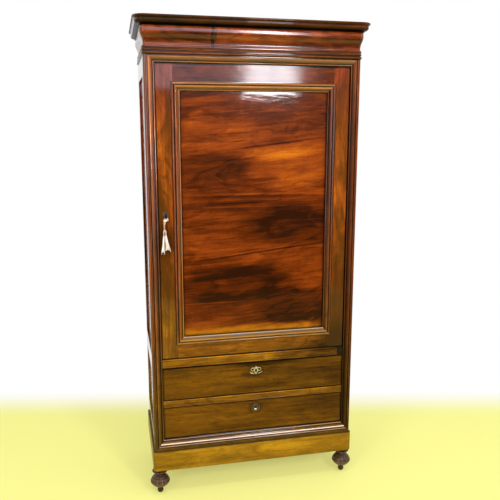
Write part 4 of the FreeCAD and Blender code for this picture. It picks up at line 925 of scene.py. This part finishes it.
class CABINET_OT_door(bpy.types.Operator):
    """Polish the door: stiles, rails, mitred mouldings and the veneered panel"""
    bl_idname = "cabinet.door"
    bl_label = "Door"

    moulding_width = 0.038

    def execute(self, context):
        polished("door_panel", self.panel(), 0.0)
        self.stiles_and_rails()
        self.mouldings()
        return {"FINISHED"}

    def panel(self):
        """The veneer: its figure runs level, with clouds and fine streaks of dark and gold, and painted shade
        along its edges under the moulding.
        """
        # edge: darker towards the moulding, painted shade under its lip
        edge = [(0.0, 1.0), (0.6, 0.85), (1.0, 0.3)]
        return walnut(
            "walnut panel", "x", 21.4, 0.42, 0.62, tilt=4.0, olive=(0.70, 0.84), coat=0.9, worn=0.12,
            polish=0.055, knee=(0.98, 1.40), spread=0.5,
            patches=[
                (0.0, 1.77, 0.70, 0.10, -0.06), (-0.15, 1.63, 0.24, 0.10, 0.06),
                (-0.15, 1.72, 0.24, 0.05, -0.10), (0.17, 1.72, 0.24, 0.11, -0.18),
                (0.16, 1.57, 0.26, 0.05, 0.18, -7), (0.17, 1.50, 0.29, 0.12, 0.14),
                (0.26, 1.49, 0.14, 0.07, 0.06), (-0.19, 1.475, 0.22, 0.12, -0.28),
                (0.0, 1.475, 0.12, 0.09, -0.14), (-0.02, 1.35, 0.60, 0.06, -0.10),
                (0.20, 1.235, 0.25, 0.12, -0.28), (0.0, 1.225, 0.12, 0.08, -0.09),
                (-0.26, 1.08, 0.12, 0.06, -0.10), (0.12, 0.955, 0.15, 0.08, -0.12),
                (-0.19, 1.24, 0.20, 0.10, 0.07), (-0.05, 1.13, 0.44, 0.04, 0.01, -8),
                (0.18, 1.055, 0.17, 0.08, -0.02), (-0.11, 0.975, 0.30, 0.11, -0.32),
                (0.20, 0.87, 0.24, 0.12, -0.30), (0.0, 0.83, 0.70, 0.07, -0.14),
                (0.0, 0.755, 0.70, 0.05, 0.34), (-0.22, 0.79, 0.18, 0.06, 0.16),
                (0.31, 0.75, 0.07, 0.07, -0.34)],
            marks=[
                (0.11, 1.597, 0.24, 0.006, -0.45, -7), (-0.08, 1.64, 0.08, 0.004, -0.30, -4),
                (-0.08, 1.605, 0.08, 0.004, -0.30, -6), (-0.02, 1.381, 0.36, 0.006, 0.26),
                (-0.02, 1.370, 0.40, 0.006, -0.25), (0.03, 1.357, 0.32, 0.005, 0.24),
                (-0.06, 1.342, 0.34, 0.006, -0.20), (-0.02, 1.326, 0.42, 0.005, 0.26),
                (0.02, 1.122, 0.36, 0.006, -0.45, -6.5), (0.06, 1.132, 0.30, 0.005, 0.20, -6.5),
                (-0.16, 0.900, 0.22, 0.004, 0.28)],
            lines=[at_ends("door_mouldings", "x", 0.020, edge, self.moulding_width),
                   at_ends("door_mouldings", "z", 0.020, edge, self.moulding_width)])

    def stiles_and_rails(self):
        """The door's framing, with painted shade in the gaps at its outer edges, and a painted purple sheen
        towards the stiles' tops.
        """
        edge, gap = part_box("door_stile_hinge")[1].x, 0.008
        # Dark at the outer edges: painted shade in the gaps round the door
        gap_x = ("x", 0.0, edge - gap, edge, [(0.0, 1.0), (0.5, 1.0), (0.75, 0.2), (1.0, 0.03)])
        gap_z = at_ends("door_stile_lock", "z", gap, [(0.0, 1.0), (0.3, 1.0), (0.5, 0.12), (1.0, 0.01)])
        # Towards the stiles' tops: a painted purple sheen
        painted_purple_sheen = ("z", None, 1.62, 1.90, [(0.0, 1.0), (1.0, (1.0, 0.70, 1.90))])
        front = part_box("door_stile_lock")[0].y
        common = {"polish": 0.06, "tint_share": 0.30, "front": front, "lines": [gap_x, gap_z, painted_purple_sheen]}
        # The lock stile's dark spot where the tassel hangs is partly dirt and partly the tassel's painted
        # shadow
        lock = walnut("walnut lock stile", "z", 16.2, 0.31, 1.15, olive=(0.85, 1.1),
                      tint=(0.21, 0.075, 0.006), stains=[(-0.39, 1.19, 0.085, 0.095, 0.54)], patches=[
                          (-0.39, 1.68, 0.09, 0.24, 0.22), (-0.39, 1.36, 0.08, 0.10, -0.14),
                          (-0.395, 1.22, 0.06, 0.16, -0.08), (-0.385, 1.06, 0.05, 0.07, 0.08),
                          (-0.39, 1.04, 0.09, 0.14, -0.22), (-0.39, 0.80, 0.09, 0.16, 0.30)], **common)
        hinge = walnut("walnut hinge stile", "z", 26.9, 0.31, 1.15, olive=(0.4, 0.95),
                       tint=(0.21, 0.080, 0.008), patches=[
                           (0.385, 1.60, 0.08, 0.15, -0.14), (0.385, 1.42, 0.08, 0.08, -0.26),
                           (0.385, 1.34, 0.08, 0.10, 0.20), (0.385, 1.23, 0.08, 0.08, -0.16),
                           (0.385, 1.0, 0.08, 0.20, -0.40), (0.385, 0.72, 0.08, 0.12, -0.50)],
                       stains=[(0.39, 0.66, 0.09, 0.17, 0.50), (0.39, 0.94, 0.09, 0.18, 0.84)], **common)
        top = walnut("walnut door top rail", "x", 31.0, 0.25, 0.8, olive=(0.8, 1.2), coat=0.50, polish=0.10,
                     front=front, lines=[gap_z])
        bottom = walnut("walnut door bottom rail", "x", 33.0, 0.44, 0.7, olive=(0.55, 1.0), front=front,
                        stains=[(0.36, 0.66, 0.11, 0.09, 0.60)], lines=[gap_z],
                        patches=[(-0.28, 0.69, 0.16, 0.06, 0.05), (0.32, 0.66, 0.12, 0.08, -0.32)])
        polished("door_stile_lock", lock, sizes().board_edge)
        polished("door_stile_hinge", hinge, sizes().board_edge)
        polished("door_rail_top", top, sizes().moulding_edge)
        polished("door_rail_bottom", bottom, sizes().moulding_edge)

    def mouldings(self):
        """The mitred frame: its level lengths have a glossier coat and a painted golden sheen, its uprights a
        painted light that is brighter on the left than on the right, and two of its rolls carry painted
        highlights.
        """
        section = [(0.0, 0.05), (0.02, 0.05), (0.053, 0.6), (0.10, 1.3), (0.145, 0.5), (0.174, 0.03),
                   (0.21, 0.2), (0.29, 0.6), (0.37, 1.0), (0.474, 1.5), (0.58, 0.8), (0.618, 0.03),
                   (0.663, 0.05), (0.71, 0.6), (0.805, 1.3), (0.895, 0.6), (0.93, 0.04), (0.96, 0.5),
                   (1.0, 0.05)]
        # Painted light across the uprights, brighter on the left, and painted highlights added on two rolls
        painted_side_light = ("x", None, -0.35, 0.35, [(0.0, 1.15), (0.5, 1.0), (1.0, 0.7)])
        left_roll_highlight = ("x", None, -0.334, -0.320, [
            (0.0, 0.0), (0.15, (0.10, 0.045, 0.003)), (0.8, (0.18, 0.08, 0.008)), (1.0, 0.0)], "ADD")
        low_roll_highlight = ("z", None, 0.736, 0.756, [
            (0.0, 0.0), (0.35, 0.0), (0.60, (0.10, 0.08, 0.07)), (0.75, (0.46, 0.40, 0.37)),
            (0.85, (0.08, 0.06, 0.05)), (1.0, 0.0)], "ADD")
        across, upwards = (at_ends("door_mouldings", axis, self.moulding_width, section) for axis in "xz")
        common = {"olive": (0.7, 1.0), "tint_share": 0.45, "polish": 0.08}
        upright = walnut("walnut upright door moulding", "z", 35.5, 0.50, 0.8, tint=tuple(colours().plum),
                         lines=[painted_side_light, left_roll_highlight, across], **common)
        # The level runs' golden tint is painted light from above
        level = walnut("walnut level door moulding", "x", 37.5, 0.52, 0.8, tint=(0.34, 0.18, 0.05), coat=1.0,
                       lines=[upwards, low_roll_highlight], **common)
        low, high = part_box("door_mouldings")

        def lies_level(polygon):
            """A face nearer to the top or bottom of the mitred frame than to its sides."""
            from_side = min(polygon.center.x - low.x, high.x - polygon.center.x)
            return min(polygon.center.z - low.z, high.z - polygon.center.z) < from_side

        second_finish(polished("door_mouldings", upright, sizes().moulding_edge), level, lies_level)


class CABINET_OT_drawers(bpy.types.Operator):
    """Polish the two drawer fronts"""
    bl_idname = "cabinet.drawers"
    bl_label = "Drawers"

    # Up from a drawer's edge: painted shade at the gap and in the bead's quirk
    rim = [(0.0, 0.02), (0.30, 0.05), (0.45, 0.35), (0.58, 0.30), (0.66, 0.9), (1.0, 1.0)]

    def execute(self, context):
        fine_rim = [(0.0, 0.03), (0.2, 0.3), (0.3, 1.0), (0.45, 1.1), (0.5, 0.3), (0.62, 0.3), (0.68, 1.0),
                    (1.0, 1.0)]
        x, _, z = UPPER_KEYHOLE
        self.drawer(
            "upper", 41.2, 0.37, self.rim,
            patches=[(-0.25, 0.53, 0.34, 0.10, 0.05), (0.25, 0.57, 0.30, 0.07, -0.10),
                     (0.0, 0.57, 0.10, 0.045, -0.10), (0.38, 0.54, 0.12, 0.09, -0.13)],
            marks=[(0.12, 0.50, 0.10, 0.006, -0.15), (-0.15, 0.58, 0.12, 0.006, -0.12)],
            # The first dark spot paints the keyhole black: painted shade
            stains=[(x, z, 0.0075, 0.013, 0.02), (x, z - 0.002, 0.042, 0.032, 0.35),
                    (0.05, 0.607, 0.22, 0.022, 0.25)])
        x, _, z = LOWER_KEYHOLE
        self.drawer(
            "lower", 47.8, 0.40, fine_rim,
            patches=[(-0.25, 0.35, 0.34, 0.09, 0.06), (0.28, 0.40, 0.25, 0.05, -0.06),
                     (0.0, 0.385, 0.08, 0.045, -0.08), (0.38, 0.36, 0.12, 0.09, -0.18)],
            marks=[(0.18, 0.33, 0.12, 0.005, -0.15), (-0.10, 0.30, 0.14, 0.005, -0.12)],
            # The first dark spot paints the keyhole black: painted shade
            stains=[(x, z, 0.0080, 0.010, 0.02), (x, z, 0.040, 0.036, 0.45)])
        return {"FINISHED"}

    def drawer(self, which, seed, level, top_rim, **spots):
        """A front with a bead inside its edges, and painted shade in the gap round it and in the bead's
        quirk.
        """
        node, bead = which + "_drawer_front", 0.008
        # Dark at the gap round the front and in the bead's quirk: painted shade
        ends = at_ends(node, "x", 0.0078, [(0.0, 1.0), (0.35, 1.0), (0.4, 0.2), (0.5, 0.2), (0.55, 1.0),
                                           (0.8, 0.8), (1.0, 0.05)])
        low, high = reach(node, "z")
        material = walnut("walnut %s drawer" % which, "x", seed, level, 0.4, coat=0.3,
                          front=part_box(node)[0].y, lines=[ends, ("z", None, low, low + bead, self.rim),
                                                          ("z", None, high, high - bead, top_rim)], **spots)
        polished(node, material, sizes().moulding_edge)


class CABINET_OT_inside(bpy.types.Operator):
    """Give the unseen boards, shelves and drawer boxes their plain oak"""
    bl_idname = "cabinet.inside"
    bl_label = "Inside"

    def execute(self, context):
        boards = {"x": ("cornice_back_rail", "carcase_top", "cupboard_floor", "carcase_bottom", "shelves",
                        "plinth_back", "foot_blocks", "upper_drawer_bottom", "lower_drawer_bottom"),
                  "y": ("drawer_runners", "shelf_cleats", "upper_drawer_box", "lower_drawer_box"),
                  "z": ("back_boards", "door_stops")}
        for seed, (grain, nodes) in enumerate(boards.items()):
            repaint(nodes, oak("oak along " + grain, grain, 3.3 * seed))
        return {"FINISHED"}


class CABINET_OT_ironwork(bpy.types.Operator):
    """Finish the locks, bolts, pivots and screws"""
    bl_idname = "cabinet.ironwork"
    bl_label = "Ironwork"

    def execute(self, context):
        iron = metal("blackened iron", colours().iron, (0.014, 0.011, 0.009), 0.55, (0.4, 0.65))
        repaint(("pivot_plates", "strike_plate", "carcase_screws", "pivot_shoes", "door_lock_case",
                 "door_screws", "door_bolt", "upper_drawer_lock", "lower_drawer_lock", "upper_drawer_bolt",
                 "lower_drawer_bolt"), iron)
        return {"FINISHED"}


class CABINET_OT_key(bpy.types.Operator):
    """Forge the key, oval bow, collar, shank and bit, and the domed ring round its hole"""
    bl_idname = "cabinet.key"
    bl_label = "Key and keyhole ring"

    def execute(self, context):
        form = bmesh.new()
        self.bow(form)
        self.shank_and_bit(form)
        steel = metal("dark steel", colours().steel, (0.008, 0.007, 0.006), 0.58, (0.4, 0.6))
        finished("turned_key", mesh_from("turned_key", form), steel, "door_key")
        ring = metal("blackened ring", (0.15, 0.125, 0.105), (0.03, 0.025, 0.022), 0.5, (0.35, 0.6),
                     crests=(-0.1964, -0.1977))
        finished("domed_ring", mesh_from("domed_ring", self.ring()), ring, "keyhole_ring")
        return {"FINISHED"}

    def bow(self, form):
        """A ring of round wire, drawn out to an oval."""
        wire, middle = sizes().bow_wire / 2, -0.228
        out = 0.010 - wire
        start = bmesh.ops.create_circle(form, segments=12, radius=wire, matrix=Matrix.Translation(
            (0, out, 0)) @ Matrix.Rotation(math.pi / 2, 4, "Y"))["verts"]
        bmesh.ops.rotate(form, cent=(0, out, 0), matrix=Matrix.Rotation(math.pi / 2, 3, "Z"), verts=start)
        full_spin(form, start + edges_of(start), (0, 0, 0), (1, 0, 0), 40)
        bmesh.ops.scale(form, vec=(1.15, 1.0, 1.5), verts=form.verts)
        bmesh.ops.translate(form, vec=(KEY_PLACE.x, middle, KEY_PLACE.z), verts=form.verts)

    def shank_and_bit(self, form):
        """The turned shank with its collar, and the bit that throws the bolt."""
        x, z = KEY_PLACE.x, KEY_PLACE.z
        thick, deep, tall = 0.0023, 0.0048, 0.0093
        profile = [(0.0, -0.2195), (0.0022, -0.2195), (0.0034, -0.2190), (0.0042, -0.2182),
                   (0.0042, -0.2176), (0.0030, -0.2170), (0.0038, -0.2165), (0.0038, -0.2162),
                   (0.0029, -0.2158), (0.0029, -0.1990), (0.0029, -0.1801), (0.0, -0.1801)]
        lathe(form, [(x + radius, y, z) for radius, y in profile], (x, 0, z), (0, 1, 0), 24)
        low, high = reach("door_bolt", "y")
        bit = bmesh.ops.create_cube(form, size=1.0)["verts"]
        bmesh.ops.scale(form, vec=(thick, deep, tall), verts=bit)
        bmesh.ops.translate(form, vec=(x, (low + high) / 2, z - 0.00475), verts=bit)

    def ring(self):
        """An oval plate, turned round and then stretched to its height."""
        x, width, height = KEY_PLACE.x, 24.0, 31.0
        form = bmesh.new()
        profile = [(0.0120, -0.1962), (0.0120, -0.1968), (0.0112, -0.1976), (0.0100, -0.1979),
                   (0.0088, -0.1975), (0.0080, -0.1972), (0.0066, -0.1976), (0.0056, -0.1979),
                   (0.0048, -0.1976), (0.0045, -0.1968), (0.0045, -0.1962)]
        lathe(form, [(x + radius, y, 0) for radius, y in profile], (x, 0, 0), (0, 1, 0), 48, closed=True)
        bmesh.ops.scale(form, vec=(1.0, 1.0, height / width), verts=form.verts)
        bmesh.ops.translate(form, vec=(0, 0, KEY_PLACE.z), verts=form.verts)
        return form


class CABINET_OT_plates(bpy.types.Operator):
    """Cast the drawers' keyhole plates: scrolls and leaves above, a round boss below"""
    bl_idname = "cabinet.plates"
    bl_label = "Keyhole plates"

    def execute(self, context):
        self.scrolled_plate()
        self.round_plate()
        return {"FINISHED"}

    def scrolled_plate(self):
        """An oval round the keyhole between two scrolls, with leaves about them."""
        form = bmesh.new()
        x, y, z = UPPER_KEYHOLE
        self.turn(form, [(0.0088, 0.0), (0.0088, 0.0008), (0.0078, 0.0014), (0.0062, 0.0015),
                         (0.0048, 0.0012), (0.0040, 0.0004), (0.0040, 0.0)], UPPER_KEYHOLE, 2.0)
        # Each leaf's place from the keyhole, its half length, half width and lean
        side_leaves = [(0.0175, -0.0125, 0.0105, 0.0036, 24), (0.0265, -0.0090, 0.0055, 0.0024, 48),
                       (0.0098, 0.0125, 0.0052, 0.0024, -38), (0.0090, -0.0030, 0.0045, 0.0020, 62)]
        for side in (-1, 1):
            self.scroll(form, (x + side * 0.0160, z + 0.0050), side, 0.0070, 0.0019)
            for out, up, half_length, half_width, lean in side_leaves:
                self.leaf(form, (x + side * out, z + up), half_length, half_width, side * lean)
        self.leaf(form, (x, z + 0.0165), 0.0050, 0.0030, 90)
        self.leaf(form, (x, z - 0.0155), 0.0048, 0.0030, 90)
        brass = metal("old brass", colours().brass, (0.050, 0.026, 0.010), 0.53, (0.25, 0.45),
                      bump_strength=0.4, crests=(y - 0.0002, y - 0.0013))
        finished("scrolled_plate", mesh_from("scrolled_plate", form), brass, "upper_drawer_escutcheon",
                 smooth_angle=60)

    def round_plate(self):
        """Rings about the keyhole, with the lowest part of the inner one pale: partly rubbed bright, partly a
        painted glint.
        """
        form = bmesh.new()
        x, y, z = LOWER_KEYHOLE
        self.turn(form, [(0.0209, 0.0), (0.0209, 0.0014), (0.0202, 0.0026), (0.0190, 0.0030),
                         (0.0178, 0.0026), (0.0171, 0.0014), (0.0150, 0.0011), (0.0134, 0.0013),
                         (0.0120, 0.0022), (0.0106, 0.0029), (0.0088, 0.0028), (0.0070, 0.0020),
                         (0.0056, 0.0010), (0.0050, 0.0)], LOWER_KEYHOLE, 1.0)
        dark = metal("dark brass", colours().old_brass, (0.020, 0.012, 0.006), 0.56, (0.3, 0.55),
                     metallic=0.5, bump_strength=0.4, crests=(y - 0.0008, y - 0.0028))
        # The pale crescent below the keyhole is partly brass rubbed by the key and partly a painted glint
        rubbed = metal("rubbed brass", (0.95, 0.88, 0.74), colours().brass, 0.36, (0.25, 0.45),
                       bump_strength=0.3)
        piece = finished("round_plate", mesh_from("round_plate", form), dark, "lower_drawer_escutcheon",
                         smooth_angle=60)

        def worn(polygon):
            """The inner ring's faces close to straight below the keyhole."""
            out = polygon.center.xz - Vector((x, z))
            return 0.0056 < out.length < 0.0122 and out.y < -0.80 * out.length

        second_finish(piece, rubbed, worn)

    def turn(self, form, profile, keyhole, height):
        """A ring turned about the keyhole; the profile is (radius, how far it stands out)."""
        lathe(form, [(radius, -out, 0) for radius, out in profile], (0, 0, 0), (0, 1, 0), 48, closed=True)
        self.settle(form, Matrix.Translation(keyhole) @ Matrix.Diagonal((1, 1, height, 1)))

    def scroll(self, form, eye, side, radius, thick):
        """A C-scroll with a bead at its curled end."""
        sweep, opening, flatness = math.radians(300), math.radians(-115), 0.42
        start = bmesh.ops.create_circle(form, segments=10, radius=thick,
                                        matrix=Matrix.Translation((radius, 0, 0)), cap_ends=True)["verts"]
        faces = list({face for vert in start for face in vert.link_faces})
        bmesh.ops.spin(form, geom=start + edges_of(start) + faces, cent=(0, 0, 0), axis=(0, 1, 0),
                       angle=sweep, steps=26)
        bmesh.ops.create_uvsphere(form, u_segments=12, v_segments=8, radius=thick * 1.25,
                                  matrix=Matrix.Translation((radius - 0.0008, 0, 0)))
        turn = Matrix.Rotation(opening, 4, "Y") @ Matrix.Diagonal((1, flatness, 1, 1))
        if side < 0:
            turn = Matrix.Diagonal((-1, 1, 1, 1)) @ turn
        self.settle(form, Matrix.Translation((eye[0], UPPER_KEYHOLE.y - 0.0007, eye[1])) @ turn)

    def leaf(self, form, place, half_length, half_width, lean):
        """A plump leaf with a sunk midrib, pointed at both ends."""
        thick, rib_width = 0.0013, 0.22
        made = bmesh.ops.create_uvsphere(form, u_segments=16, v_segments=12, radius=1.0,
                                         matrix=Matrix.Rotation(math.pi / 2, 4, "Y"))["verts"]
        for vert in made:
            point = vert.co
            taper = 1.0 - 0.35 * abs(point.x) ** 1.5
            rib = 0.35 * math.exp(-(point.z / rib_width) ** 2) * (1 - abs(point.x))
            vert.co = (point.x, point.y * (1 - rib) * 0.95, point.z * taper)
        turn = Matrix.Rotation(math.radians(-lean), 4, "Y")
        turn = turn @ Matrix.Diagonal((half_length, thick, half_width, 1))
        self.settle(form, Matrix.Translation((place[0], UPPER_KEYHOLE.y - 0.0002, place[1])) @ turn)

    def settle(self, form, matrix):
        """Move what was made last to its place."""
        fresh = [vert for vert in form.verts if not vert.tag]
        bmesh.ops.transform(form, matrix=matrix, verts=fresh)
        for vert in fresh:
            vert.tag = True


OPERATORS = (CABINET_OT_stage, CABINET_OT_cord, CABINET_OT_tassel, CABINET_OT_carcase, CABINET_OT_feet,
             CABINET_OT_door, CABINET_OT_drawers, CABINET_OT_inside, CABINET_OT_ironwork, CABINET_OT_key,
             CABINET_OT_plates)


class CABINET_PT_panel(bpy.types.Panel):
    """The cabinet's pieces, sizes and colours"""
    bl_idname = "CABINET_PT_panel"
    bl_label = "Bonnetiere cabinet"
    bl_space_type = "VIEW_3D"
    bl_region_type = "UI"
    bl_category = "Cabinet"

    def draw(self, context):
        for operator in OPERATORS:
            self.layout.operator(operator.bl_idname)
        for group in (context.scene.cabinet_sizes, context.scene.cabinet_colours):
            column = self.layout.column()
            for name in group.__annotations__:
                column.prop(group, name)


CLASSES = (CabinetSizes, CabinetColours) + OPERATORS + (CABINET_PT_panel,)


def register():
    for cls in CLASSES:
        bpy.utils.register_class(cls)
    bpy.types.Scene.cabinet_sizes = PointerProperty(type=CabinetSizes)
    bpy.types.Scene.cabinet_colours = PointerProperty(type=CabinetColours)


def unregister():
    del bpy.types.Scene.cabinet_colours
    del bpy.types.Scene.cabinet_sizes
    for cls in reversed(CLASSES):
        bpy.utils.unregister_class(cls)


def main():
    register()
    bpy.ops.cabinet.stage()
    bpy.ops.cabinet.cord()
    bpy.ops.cabinet.tassel()
    bpy.ops.cabinet.carcase()
    bpy.ops.cabinet.feet()
    bpy.ops.cabinet.door()
    bpy.ops.cabinet.drawers()
    bpy.ops.cabinet.inside()
    bpy.ops.cabinet.ironwork()
    bpy.ops.cabinet.key()
    bpy.ops.cabinet.plates()


if __name__ == "__main__":
    main()
